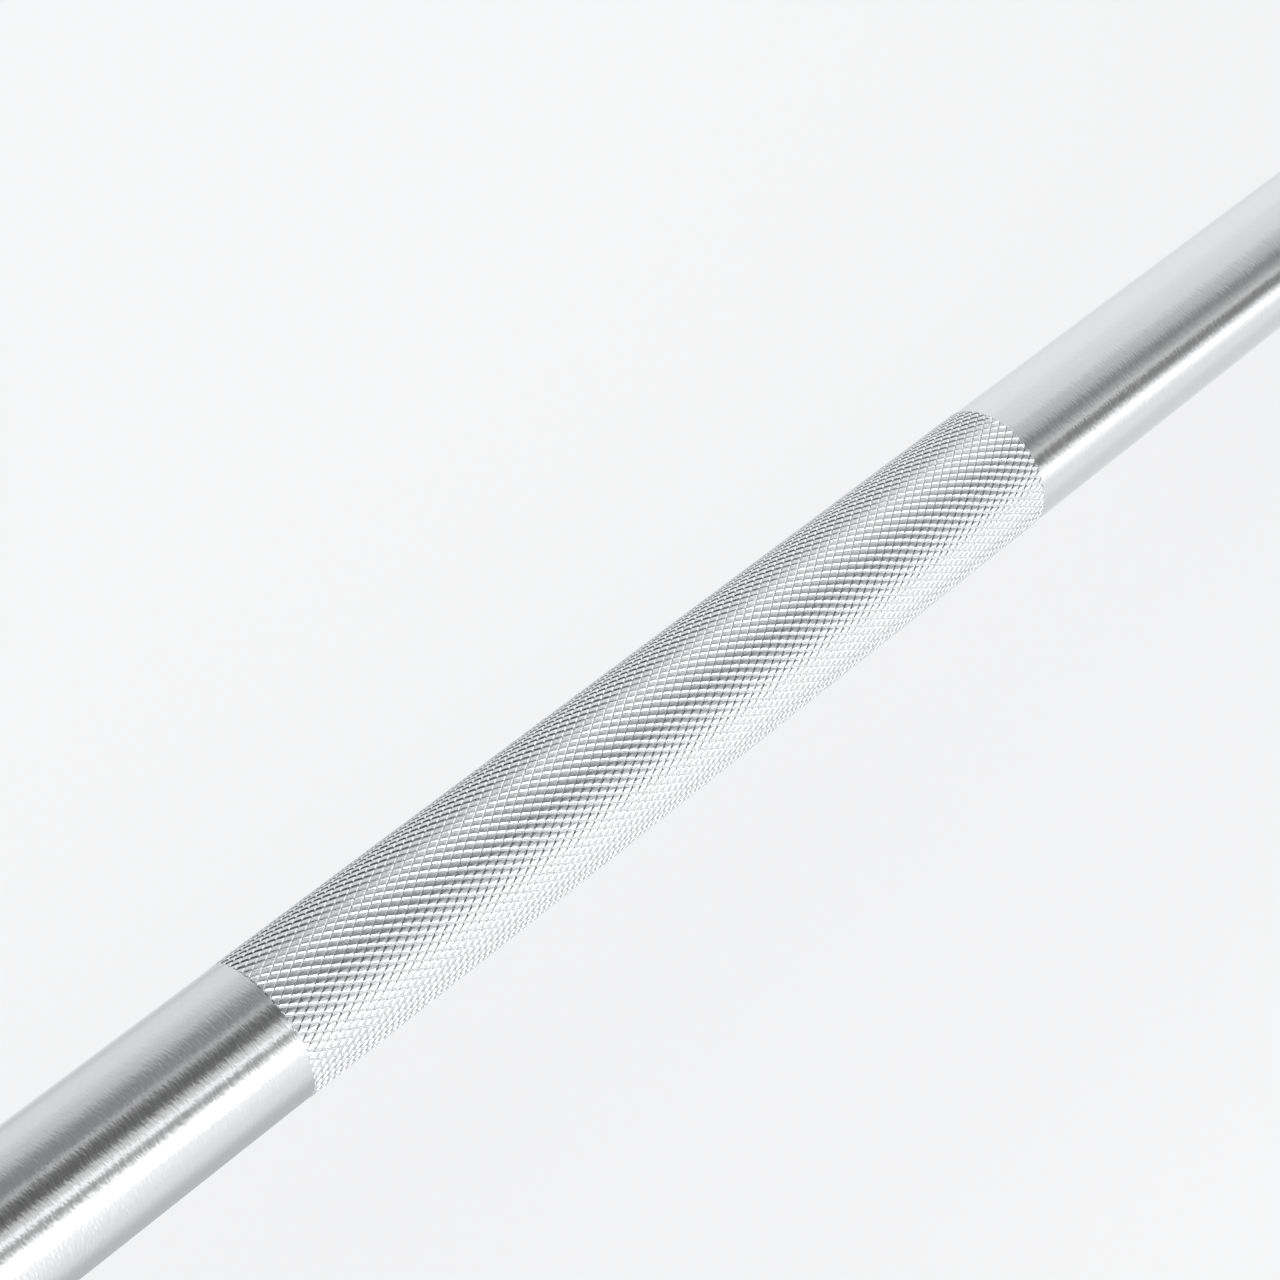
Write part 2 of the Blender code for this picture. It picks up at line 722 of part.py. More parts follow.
def make_cap_screws(side, end):
    """Countersunk socket screws that hold the end cap to the core."""
    tip = SCREW_TOP - SCREW_LENGTH
    for number, (x, y) in enumerate(cap_screw_places(), start=1):
        corners = [(0.0, SCREW_TOP, 0.0)] + screw_head_corners(0.0, SCREW_TOP)
        corners += [(SCREW_DIAMETER / 2, tip, 0.0), (0.0, tip, 0.0)]
        screw = turned(
            f"{side}_cap_screw_{number}",
            corners,
            end,
            ZINC_STEEL,
            closed=False,
            facets=SMALL_FACETS,
        )
        screw.location = (x, y, 0.0)
        socket = hex_socket(
            f"{side}_cap_screw_socket_{number}",
            SCREW_SOCKET_WIDTH,
            SCREW_TOP - SCREW_SOCKET_DEPTH,
            SCREW_TOP + CUT_PAST,
            end,
            place=(x, y),
        )
        shade_round(cut(screw, socket))


def make_barbell():
    """Builds the shaft and both ends."""
    ends = {"right": shaft_frame("right_end", 0.0), "left": shaft_frame("left_end", math.pi)}
    make_shaft(ends.values())
    for side, end in ends.items():
        make_collar(side, end)
        make_spring_pin(side, end)
        make_dowels(side, end)
        make_core(side, end)
        make_casing(side, end)
        make_washers(side, end)
        make_end_bolt(side, end)
        make_end_cap(side, end)
        make_cap_screws(side, end)


make_barbell()
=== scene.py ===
"""Fixed barbell: the shown model of the part, its finishes, and the studio that it stands in.

Units are metres, in the part's own frame: X runs along the shaft, Z is up and the floor is at z = -0.088.
The pieces at each end are worked out in an end frame, whose Z runs outwards along the shaft and whose X
points down, and are then turned to the right (+X) or the left (-X).
"""

import json
import logging
import math
from dataclasses import dataclass, field
from enum import Enum

import bpy
import numpy as np
from mathutils import Matrix

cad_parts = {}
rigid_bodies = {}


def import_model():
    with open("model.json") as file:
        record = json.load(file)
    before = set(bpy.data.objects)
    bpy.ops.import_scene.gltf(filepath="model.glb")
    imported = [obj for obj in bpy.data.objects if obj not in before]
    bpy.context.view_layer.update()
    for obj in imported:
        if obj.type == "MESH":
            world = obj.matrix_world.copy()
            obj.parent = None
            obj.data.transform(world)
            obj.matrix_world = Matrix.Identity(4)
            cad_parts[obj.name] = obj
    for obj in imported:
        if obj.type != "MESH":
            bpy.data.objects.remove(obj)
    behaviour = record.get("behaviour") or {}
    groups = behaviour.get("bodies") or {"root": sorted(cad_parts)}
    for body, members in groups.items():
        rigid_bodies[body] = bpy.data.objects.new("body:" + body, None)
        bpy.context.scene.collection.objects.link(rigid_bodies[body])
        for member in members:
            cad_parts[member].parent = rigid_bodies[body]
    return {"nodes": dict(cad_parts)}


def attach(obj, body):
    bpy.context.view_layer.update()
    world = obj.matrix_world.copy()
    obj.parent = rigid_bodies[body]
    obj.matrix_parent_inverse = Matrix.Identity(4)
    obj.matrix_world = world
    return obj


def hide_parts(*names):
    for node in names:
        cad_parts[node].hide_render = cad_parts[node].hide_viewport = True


for leftover in list(bpy.data.objects):
    bpy.data.objects.remove(leftover)

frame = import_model()

LOG = logging.getLogger("barbell")
BODY = "root"
FLAT_FACE_WEIGHT = 50

# Straight pieces in a rounded edge, steps round a small hole, and vertices each way in a diamond's cell
ARC_STEPS = 6
SMALL_TURNS = 48
PER_CELL = 3

# Least length that is divided by, and how near to an end a vertex counts as on it
NEARLY_NOTHING = 1e-18
ON_THE_END = 1e-9

Piece = bpy.types.Object
Node = bpy.types.Node
Socket = bpy.types.NodeSocket
Array = np.ndarray
Surface = tuple[Array, list[Array]]
Pair = tuple[float, float]
Triple = tuple[float, float, float]
Colour = tuple[float, float, float, float]


class Side(Enum):
    """Which end of the shaft a piece belongs to. The value is the sign of X there."""

    RIGHT = 1
    LEFT = -1

    @property
    def word(self) -> str:
        """The side's name as the nodes spell it."""
        return self.name.lower()


class Grain(Enum):
    """The direction that a metal finish's fine marks run in."""

    ROUND_SHAFT = "round the shaft"
    TURNED_RINGS = "rings of a turned face and side"


# Mesh arrays


def put_object(name: str, data: bpy.types.ID) -> Piece:
    """Makes an object of a mesh, a light or a camera and puts it in the scene."""
    obj = bpy.data.objects.new(name, data)
    bpy.context.scene.collection.objects.link(obj)
    return obj


def put_surface(name: str, points: Array, faces: list[Array]) -> Piece:
    """Makes an object in the scene from arrays.

    Args:
        name: name of the object and of its mesh.
        points: (n, 3) positions in the part's frame.
        faces: arrays of vertex numbers, each (m, 3) or (m, 4) or one row for a larger polygon.

    Returns:
        The new object, at the origin.
    """
    mesh = bpy.data.meshes.new(name)
    mesh.vertices.add(len(points))
    mesh.vertices.foreach_set("co", np.ascontiguousarray(points, dtype=np.float32).ravel())
    corners = np.concatenate([block.ravel() for block in faces]).astype(np.int32)
    sizes = np.concatenate([np.full(len(block), block.shape[1]) for block in faces])
    starts = np.concatenate([[0], np.cumsum(sizes)[:-1]]).astype(np.int32)
    mesh.loops.add(len(corners))
    mesh.polygons.add(len(sizes))
    mesh.polygons.foreach_set("loop_start", starts)
    mesh.polygons.foreach_set("vertices", corners)
    mesh.update(calc_edges=True)
    mesh.validate()
    return put_object(name, mesh)


def shade_from_angle(obj: Piece, degrees: float) -> Piece:
    """Shades a piece smooth, with its large faces kept flat and edges sharper than the angle crisp.

    Args:
        obj: the piece.
        degrees: smallest angle of a crisp edge.

    Returns:
        The same object.
    """
    obj.data.shade_smooth()
    obj.data.set_sharp_from_angle(angle=math.radians(degrees))
    weighted = obj.modifiers.new("Flat faces", "WEIGHTED_NORMAL")
    weighted.mode = "FACE_AREA"
    weighted.weight = FLAT_FACE_WEIGHT
    weighted.keep_sharp = True
    return obj


def unit(vectors: Array) -> Array:
    """A vector, or each row of an array of them, at length 1."""
    return vectors / np.maximum(np.linalg.norm(vectors, axis=-1, keepdims=True), NEARLY_NOTHING)


def round_shaft(place: Array, radius: Array | float, angle: Array) -> Array:
    """Points (x, -r sin a, r cos a) at places x along the shaft, at radii r and angles a about it."""
    return np.stack([place, -radius * np.sin(angle), radius * np.cos(angle)], axis=-1)


def round_corners(corners: list[tuple], steps: int, closed: bool) -> Array:
    """Outline with its corners drawn as arcs.

    A corner of fillet f between two straight sides that meet at the angle 2h has its arc's centre on the
    bisector at f / sin(h), and touches the sides at f / tan(h) from the corner.

    Args:
        corners: rows of (radius, height, fillet, weight).
        steps: straight pieces in each arc.
        closed: whether the last corner joins the first.

    Returns:
        (n, 3) array of radius, height and weight along the outline.
    """
    table = np.array(corners, dtype=float)
    rows = []
    for index, (radius, height, fillet, weight) in enumerate(table):
        at_end = not closed and index in (0, len(table) - 1)
        if fillet == 0 or at_end:
            rows.append([[radius, height, weight]])
            continue
        here = np.array([radius, height])
        before = unit(table[index - 1, :2] - here)
        after = unit(table[(index + 1) % len(table), :2] - here)
        half = math.acos(float(np.clip(before @ after, -1.0, 1.0))) / 2
        centre = here + unit(before + after) * fillet / math.sin(half)
        first = here + before * fillet / math.tan(half) - centre
        last = here + after * fillet / math.tan(half) - centre
        turn = np.linspace(0.0, 1.0, steps + 1)[:, None]
        sweep = math.pi - 2 * half
        arc = (np.sin((1 - turn) * sweep) * first + np.sin(turn * sweep) * last) / math.sin(sweep) + centre
        rows.append(np.column_stack([arc, np.full(steps + 1, weight)]))
    return np.concatenate([np.asarray(row) for row in rows])


def polygon_swell(angles: Array, sides: int, fillet_share: float) -> Array:
    """Radius of a regular polygon over the radius of its inner circle, with rounded corners.

    With b the angle from the nearest corner, the straight part is 1 / cos(pi / sides - b). The rounded
    part is a circle of radius f about a centre at (1 - f) / cos(pi / sides) on the corner's line.

    Args:
        angles: angles about the axis, with a flat's middle at 0.
        sides: number of sides.
        fillet_share: corner radius over the inner circle's radius.

    Returns:
        One factor for each angle.
    """
    step = 2 * math.pi / sides
    from_corner = np.abs(np.mod(angles, step) - step / 2)
    straight = 1.0 / np.cos(step / 2 - from_corner)
    if fillet_share == 0:
        return straight
    centre = (1 - fillet_share) / math.cos(step / 2)
    touch = math.atan2(fillet_share * math.sin(step / 2), centre + fillet_share * math.cos(step / 2))
    under = np.maximum(fillet_share**2 - (centre * np.sin(from_corner)) ** 2, 0.0)
    arc = centre * np.cos(from_corner) + np.sqrt(under)
    return np.where(from_corner < touch, arc, straight)


def turn_angles(turns: int) -> Array:
    """Angles of a whole turn in even steps from 0."""
    return np.arange(turns) * 2 * math.pi / turns


def lathe(
    outline: Array,
    turns: int,
    closed: bool,
    swell: Array | None = None,
    centre: Pair = (0.0, 0.0),
    arc: Pair | None = None,
) -> Surface:
    """Surface of an outline carried round the end frame's Z.

    The point at outline place s and angle a is (r cos a, r sin a, h), where h is the outline's height and
    r its radius times (1 - w + w q): w is the outline's weight there and q the swell at that angle.

    Args:
        outline: (n, 3) radius, height and weight, which may run either way round its material.
        turns: number of steps round the axis.
        closed: True for a ring, False for an outline that starts and ends on the axis.
        swell: factor for each angle, 1 all round where it is left out.
        centre: place of the axis in the end frame.
        arc: first and last angle of a part turn, whose two ends are closed by a face each.

    Returns:
        The points and the blocks of faces, which face outwards.
    """
    radius, height, weight = outline.T
    after = np.roll(outline, -1, axis=0)
    area = np.sum(radius * after[:, 1] - after[:, 0] * height)
    if area < 0:
        radius, height, weight = radius[::-1], height[::-1], weight[::-1]
    angles = turn_angles(turns) if arc is None else np.linspace(*arc, turns)
    factor = np.ones(turns) if swell is None else swell
    across = radius[:, None] * (1 - weight[:, None] + weight[:, None] * factor[None, :])
    tall = np.broadcast_to(height[:, None], across.shape)
    grid = np.stack([centre[0] + across * np.cos(angles), centre[1] + across * np.sin(angles), tall], axis=-1)
    rings = len(radius) if closed else len(radius) - 2
    here = np.arange(rings * turns).reshape(rings, turns)
    beside = np.roll(here, -1, axis=1)
    quads = np.stack([here, beside, np.roll(beside, -1, axis=0), np.roll(here, -1, axis=0)], axis=-1)
    if closed and arc is None:
        return grid.reshape(-1, 3), [quads.reshape(-1, 4)]
    if closed:
        ends = [here[:, 0][None, :], here[::-1, -1][None, :]]
        return grid.reshape(-1, 3), [quads[:, :-1].reshape(-1, 4), *ends]
    poles = [[*centre, height[0]], [*centre, height[-1]]]
    low, high = np.full(turns, here.size), np.full(turns, here.size + 1)
    fans = [np.stack([low, beside[0], here[0]], axis=-1), np.stack([high, here[-1], beside[-1]], axis=-1)]
    return np.concatenate([grid[1:-1].reshape(-1, 3), poles]), [quads[:-1].reshape(-1, 4), *fans]


def turn_to(side: Side, points: Array) -> Array:
    """End frame to part frame: (x, y, z) becomes (s z, s y, -x), where s is the side's sign."""
    sign = side.value
    return np.column_stack([sign * points[:, 2], sign * points[:, 1], -points[:, 0]])


def plain_outline(rows: list[Pair]) -> Array:
    """Outline of sharp corners, given as radius and height."""
    return np.array([(radius, height, 0.0) for radius, height in rows])


@dataclass(frozen=True)
class PinHole:
    """The upright hole of a spring pin, through the collar and the spigot."""

    radius: float = 0.0033
    place: float = 0.4883
    cut: float = 0.03

    def cutter(self, name: str, side: Side) -> Piece:
        """Closed solid that cuts the hole at one end of the shaft."""
        rows = [(0.0, -self.cut), (self.radius, -self.cut), (self.radius, self.cut), (0.0, self.cut)]
        points, faces = lathe(plain_outline(rows), SMALL_TURNS, closed=False)
        return put_surface(name, points + np.array([side.value * self.place, 0.0, 0.0]), faces)


def cut_away(obj: Piece, cutters: list[Piece]) -> Piece:
    """Cuts solids out of a piece, keeps the result as its mesh and removes the cutters.

    Args:
        obj: the piece.
        cutters: closed solids, which are removed afterwards.

    Returns:
        The same object with its new mesh.
    """
    for cutter in cutters:
        boolean = obj.modifiers.new("Cut", "BOOLEAN")
        boolean.operation = "DIFFERENCE"
        boolean.solver = "EXACT"
        boolean.object = cutter
    bpy.context.view_layer.update()
    graph = bpy.context.evaluated_depsgraph_get()
    mesh = bpy.data.meshes.new_from_object(obj.evaluated_get(graph))
    obj.modifiers.clear()
    old, obj.data = obj.data, mesh
    bpy.data.meshes.remove(old)
    mesh.name = obj.name
    for cutter in cutters:
        bpy.data.meshes.remove(cutter.data)
    return obj


# Finishes


@dataclass(frozen=True)
class Noise:
    """Smooth noise: its cells to the metre, in all or on each axis, its detail and its roughness."""

    cells: float | Triple
    detail: float = 2.0
    roughness: float = 0.5


class Bench:
    """Lays out the nodes of one material or world and joins them."""

    per_row = 8
    column_step, row_step = 240, -260
    usual_low, usual_high = 0.3, 0.7

    def __init__(self, owner: bpy.types.Material | bpy.types.World) -> None:
        """Empties the node tree of a material or a world."""
        owner.use_nodes = True
        self.tree = owner.node_tree
        self.tree.nodes.clear()
        self.placed = 0

    def node(self, kind: str, **settings: object) -> Node:
        """Adds a node and sets its properties.

        Args:
            kind: the node's type.
            settings: property names and values.

        Returns:
            The node.
        """
        made = self.tree.nodes.new(kind)
        row, column = divmod(self.placed, self.per_row)
        made.location = (self.column_step * column, self.row_step * row)
        self.placed += 1
        for name, value in settings.items():
            setattr(made, name, value)
        return made

    def feed(self, node: Node, **sockets: object) -> Node:
        """Sets or links a node's inputs.

        Args:
            node: the node to feed.
            sockets: input names, with underscores for blanks, or i0, i1 and so on for their numbers. A
                value that is an output socket is linked, and any other value is set.

        Returns:
            The same node.
        """
        for name, value in sockets.items():
            key = int(name[1:]) if name[0] == "i" and name[1:].isdigit() else name.replace("_", " ")
            socket = node.inputs[key]
            if isinstance(value, Socket):
                self.tree.links.new(value, socket)
            else:
                socket.default_value = value
        return node

    def maths(self, operation: str, *values: object) -> Socket:
        """One step of arithmetic on numbers or sockets."""
        inputs = {f"i{place}": value for place, value in enumerate(values)}
        return self.feed(self.node("ShaderNodeMath", operation=operation), **inputs).outputs[0]

    def dot(self, vector: Socket, axis: Triple) -> Socket:
        """Length of a vector along an axis."""
        node = self.node("ShaderNodeVectorMath", operation="DOT_PRODUCT")
        return self.feed(node, i0=vector, i1=axis).outputs["Value"]

    def scaled(self, vector: Socket, scale: Triple) -> Socket:
        """A coordinate stretched by a factor on each axis."""
        return self.feed(self.node("ShaderNodeMapping"), Vector=vector, Scale=scale).outputs[0]

    def noise(self, vector: Socket, kind: Noise) -> Socket:
        """Smooth noise of about 0 to 1 on a coordinate."""
        scale = kind.cells
        if isinstance(scale, tuple):
            vector, scale = self.scaled(vector, scale), 1.0
        node = self.node("ShaderNodeTexNoise")
        self.feed(node, Vector=vector, Scale=scale, Detail=kind.detail, Roughness=kind.roughness)
        return node.outputs["Fac"]

    def spread(self, noise: Socket, low: float, high: float) -> Socket:
        """Runs from low to high over the range that smooth noise mostly keeps to."""
        return self.remap(noise, self.usual_low, self.usual_high, low, high)

    def remap(self, value: Socket, low: float, high: float, to_low: float, to_high: float) -> Socket:
        """Runs smoothly from one value to another as the input goes from low to high."""
        node = self.node("ShaderNodeMapRange", interpolation_type="SMOOTHSTEP")
        return self.feed(node, i0=value, i1=low, i2=high, i3=to_low, i4=to_high).outputs[0]

    def blend(self, share: Socket, first: tuple | Socket, second: tuple | Socket) -> Socket:
        """Mixes two colours by a share. The node takes them at its inputs 6 and 7."""
        node = self.node("ShaderNodeMix", data_type="RGBA")
        return self.feed(node, i0=share, i6=first, i7=second).outputs[2]

    def from_shaft(self, place: Socket) -> tuple[Socket, Socket]:
        """Place along the shaft's axis, and distance from it."""
        parts = self.feed(self.node("ShaderNodeSeparateXYZ"), Vector=place)
        squares = [self.maths("POWER", parts.outputs[number], 2.0) for number in (1, 2)]
        return parts.outputs[0], self.maths("SQRT", self.maths("ADD", *squares))

    def bump(self, height: Socket, depth: float, normal: Socket | None = None) -> Socket:
        """Relief of a real depth in metres, on top of an earlier one where it is given."""
        node = self.node("ShaderNodeBump")
        self.feed(node, Height=height, Distance=depth, Strength=1.0)
        if normal is not None:
            self.feed(node, Normal=normal)
        return node.outputs[0]


@dataclass(frozen=True)
class Finish:
    """What every finish has: its name, the record's slot, and the shader's even values."""

    name: str
    slot: str
    colour: Triple
    roughness: float
    metallic: float

    def material(self) -> bpy.types.Material:
        """The finish's material, made once and then shared."""
        known = bpy.data.materials.get(self.name)
        if known is not None:
            return known
        made = bpy.data.materials.new(self.name)
        bench = Bench(made)
        shader = bench.node("ShaderNodeBsdfPrincipled")
        bench.feed(shader, Metallic=self.metallic, Roughness=self.roughness, Base_Color=(*self.colour, 1.0))
        bench.feed(bench.node("ShaderNodeOutputMaterial"), Surface=shader.outputs[0])
        place = bench.node("ShaderNodeTexCoord").outputs["Object"]
        self.detail(bench, shader, place)
        return made

    def detail(self, bench: Bench, shader: Node, place: Socket) -> None:
        """Adds the finish's own grain, wear and relief."""
        raise NotImplementedError

    def shade(self, share: float) -> Colour:
        """The finish's colour made lighter or darker by a factor."""
        return tuple(min(1.0, channel * share) for channel in self.colour) + (1.0,)

    def dress(self, obj: Piece) -> Piece:
        """Puts the finish on a piece."""
        obj.data.materials.clear()
        obj.data.materials.append(self.material())
        return obj

    def dress_node(self, name: str) -> Piece:
        """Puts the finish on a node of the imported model, whose mesh stays as it is."""
        node = frame["nodes"][name]
        for slot in node.material_slots:
            slot.material = self.material()
        return node


@dataclass(frozen=True)
class PlatedSteel(Finish):
    """Chromed or bright steel, with fine marks that run one way."""

    grain: Grain = Grain.ROUND_SHAFT
    mark_depth: float = 0.000036
    mark_width: float = 0.00045
    mark_length: float = 0.0014
    mark_shade: float = 0.98
    turned_detail: Pair = (3.0, 0.6)
    brushed_detail: Pair = (1.0, 0.5)
    rough_range: Pair = (0.25, 0.75)
    rougher: Pair = (0.8, 1.25)
    haze: Noise = Noise((60.0, 90.0, 90.0), 3.0, 0.55)
    haze_swing: float = 0.02

    def detail(self, bench: Bench, shader: Node, place: Socket) -> None:
        """Satin marks in the colour, the roughness and the relief, and a slow haze over them."""
        across, along = 1.0 / self.mark_width, 1.0 / self.mark_length
        if self.grain is Grain.TURNED_RINGS:
            down_shaft, radius = bench.from_shaft(place)
            rings = bench.feed(bench.node("ShaderNodeCombineXYZ"), X=down_shaft, Y=radius)
            marks = bench.noise(rings.outputs[0], Noise((across, across, 1.0), *self.turned_detail))
        else:
            marks = bench.noise(place, Noise((across, along, along), *self.brushed_detail))
        haze = bench.noise(place, self.haze)
        tone = bench.blend(bench.spread(marks, 0.0, 1.0), self.shade(self.mark_shade), self.shade(1.0))
        rough = bench.remap(marks, *self.rough_range, *(self.roughness * share for share in self.rougher))
        rough = bench.maths("ADD", rough, bench.spread(haze, -self.haze_swing, self.haze_swing))
        bench.feed(shader, Base_Color=tone, Roughness=rough, Normal=bench.bump(marks, self.mark_depth))


@dataclass(frozen=True)
class KnurledSteel(Finish):
    """Chromed steel in the knurl: a little rougher, with painted shade darkening its colour down in the
    grooves.
    """

    groove_radius: float = 0.0139
    crest_radius: float = 0.0141
    # Share of the colour left at the groove bottoms: painted shade
    groove_shade: float = 0.95
    groove_roughness: float = 0.12
    grain: Noise = Noise((2600.0, 900.0, 900.0), 2.0, 0.6)
    grain_depth: float = 0.000006
    rougher: Pair = (0.8, 1.2)

    def detail(self, bench: Bench, shader: Node, place: Socket) -> None:
        """Paints shade into the colour towards the grooves and roughens them, with a fine tool grain on the
        tops.
        """
        _, radius = bench.from_shaft(place)
        deep = bench.remap(radius, self.groove_radius, self.crest_radius, 1.0, 0.0)
        grain = bench.noise(place, self.grain)
        # Painted shade: the colour darkens towards the groove bottoms, where shade falls
        tone = bench.blend(deep, self.shade(1.0), self.shade(self.groove_shade))
        rough = bench.spread(grain, *(self.roughness * share for share in self.rougher))
        rough = bench.maths("ADD", rough, bench.maths("MULTIPLY", deep, self.groove_roughness))
        bench.feed(shader, Base_Color=tone, Roughness=rough, Normal=bench.bump(grain, self.grain_depth))


@dataclass(frozen=True)
class MouldedRubber(Finish):
    """Black moulded rubber: a fine pebble, a faint bloom and a few rubbed places."""

    bloom: Triple = (0.034, 0.034, 0.037)
    gloss: float = 0.5
    pebble: Noise = Noise(850.0, 2.0, 0.55)
    pebble_depth: float = 0.00028
    pebble_swing: float = 0.04
    swell: Noise = Noise(160.0)
    swell_depth: float = 0.00016
    rubbed: Noise = Noise((26.0, 70.0, 70.0), 4.0, 0.62)
    rubbed_range: Pair = (0.45, 0.7)
    rubbed_smoother: float = 0.14
    cloud: Noise = Noise(60.0, 5.0, 0.62)
    bloom_range: Pair = (0.35, 0.75)

    def detail(self, bench: Bench, shader: Node, place: Socket) -> None:
        """Pebble relief in two sizes, bloom in the colour, and rubbed places in the roughness."""
        bench.feed(shader, Specular_IOR_Level=self.gloss)
        pebble, swell = bench.noise(place, self.pebble), bench.noise(place, self.swell)
        rubbed, cloud = bench.noise(place, self.rubbed), bench.noise(place, self.cloud)
        bloomed = bench.remap(cloud, *self.bloom_range, 0.0, 1.0)
        tone = bench.blend(bloomed, self.shade(1.0), (*self.bloom, 1.0))
        rubbed_rough = self.roughness - self.rubbed_smoother
        rough = bench.remap(rubbed, *self.rubbed_range, self.roughness, rubbed_rough)
        grain = bench.spread(pebble, -self.pebble_swing, self.pebble_swing)
        rough = bench.maths("ADD", rough, grain)
        relief = bench.bump(pebble, self.pebble_depth, bench.bump(swell, self.swell_depth))
        bench.feed(shader, Base_Color=tone, Roughness=rough, Normal=relief)


@dataclass(frozen=True)
class CastIron(Finish):
    """Grey cast iron with its sand-cast skin."""

    sand: Noise = Noise(900.0, 4.0, 0.6)
    sand_depth: float = 0.00015
    sand_swing: float = 0.1
    oxide: Noise = Noise(70.0, 4.0, 0.6)
    mottle: float = 0.25

    def detail(self, bench: Bench, shader: Node, place: Socket) -> None:
        """Sandy relief and mottled oxide."""
        sand = bench.noise(place, self.sand)
        oxide = bench.spread(bench.noise(place, self.oxide), 0.0, 1.0)
        tone = bench.blend(oxide, self.shade(1.0 - self.mottle), self.shade(1.0 + self.mottle))
        rough = bench.spread(sand, self.roughness - self.sand_swing, self.roughness + self.sand_swing)
        bench.feed(shader, Base_Color=tone, Roughness=rough, Normal=bench.bump(sand, self.sand_depth))


@dataclass(frozen=True)
class CoatedSteel(Finish):
    """Small steel hardware, zinc plated or blackened: a faint spangle and fine handling marks."""

    spangle: float = 0.12
    spangle_cells: float = 1400.0
    spangle_share: float = 1.2
    cloud: Noise = Noise(500.0, 3.0, 0.6)
    cloud_depth: float = 0.000008
    cloud_swing: Pair = (-0.07, 0.09)

    def detail(self, bench: Bench, shader: Node, place: Socket) -> None:
        """Spangle in the colour, cloudy roughness and a shallow relief."""
        cells = bench.feed(bench.node("ShaderNodeTexVoronoi"), Vector=place, Scale=self.spangle_cells)
        cloud = bench.noise(place, self.cloud)
        share = bench.maths("MULTIPLY", cells.outputs["Distance"], self.spangle_share)
        tone = bench.blend(share, self.shade(1.0 + self.spangle), self.shade(1.0 - self.spangle))
        rough = bench.spread(cloud, *(self.roughness + swing for swing in self.cloud_swing))
        bench.feed(shader, Base_Color=tone, Roughness=rough, Normal=bench.bump(cloud, self.cloud_depth))


SATIN_CHROME = PlatedSteel("satin_chrome", "chromed_steel", (0.93, 0.935, 0.945), 0.14, 1.0)
KNURL_CHROME = KnurledSteel("knurl_chrome", "chromed_steel", (0.93, 0.935, 0.945), 0.26, 1.0)
CAP_CHROME = PlatedSteel(
    "cap_chrome",
    "chromed_steel",
    (0.87, 0.875, 0.885),
    0.20,
    1.0,
    grain=Grain.TURNED_RINGS,
    mark_depth=0.00007,
    mark_width=0.0012,
    mark_shade=0.88,
)
TURNED_STEEL = PlatedSteel(
    "turned_steel", "bright_steel", (0.80, 0.81, 0.82), 0.22, 1.0, Grain.TURNED_RINGS, mark_depth=0.000014
)
RUBBER = MouldedRubber("moulded_rubber", "black_rubber", (0.022, 0.022, 0.024), 0.50, 0.0)
IRON = CastIron("sand_cast_iron", "cast_iron", (0.16, 0.16, 0.165), 0.62, 1.0)
ZINC = CoatedSteel("zinc_plate", "zinc_steel", (0.66, 0.67, 0.69), 0.30, 1.0)
SPRING = CoatedSteel("blackened_spring", "spring_steel", (0.24, 0.24, 0.25), 0.38, 1.0)


def show(obj: Piece, finish: Finish, *nodes: str) -> Piece:
    """Dresses a new piece, lets it ride on the body and stands it in for its nodes.

    Args:
        obj: the piece.
        finish: what it is made of.
        nodes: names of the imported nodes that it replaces.

    Returns:
        The same object.
    """
    finish.dress(obj)
    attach(obj, BODY)
    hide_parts(*nodes)
    LOG.info("%s: %d faces in %s", obj.name, len(obj.data.polygons), finish.name)
    return obj


# Shaft


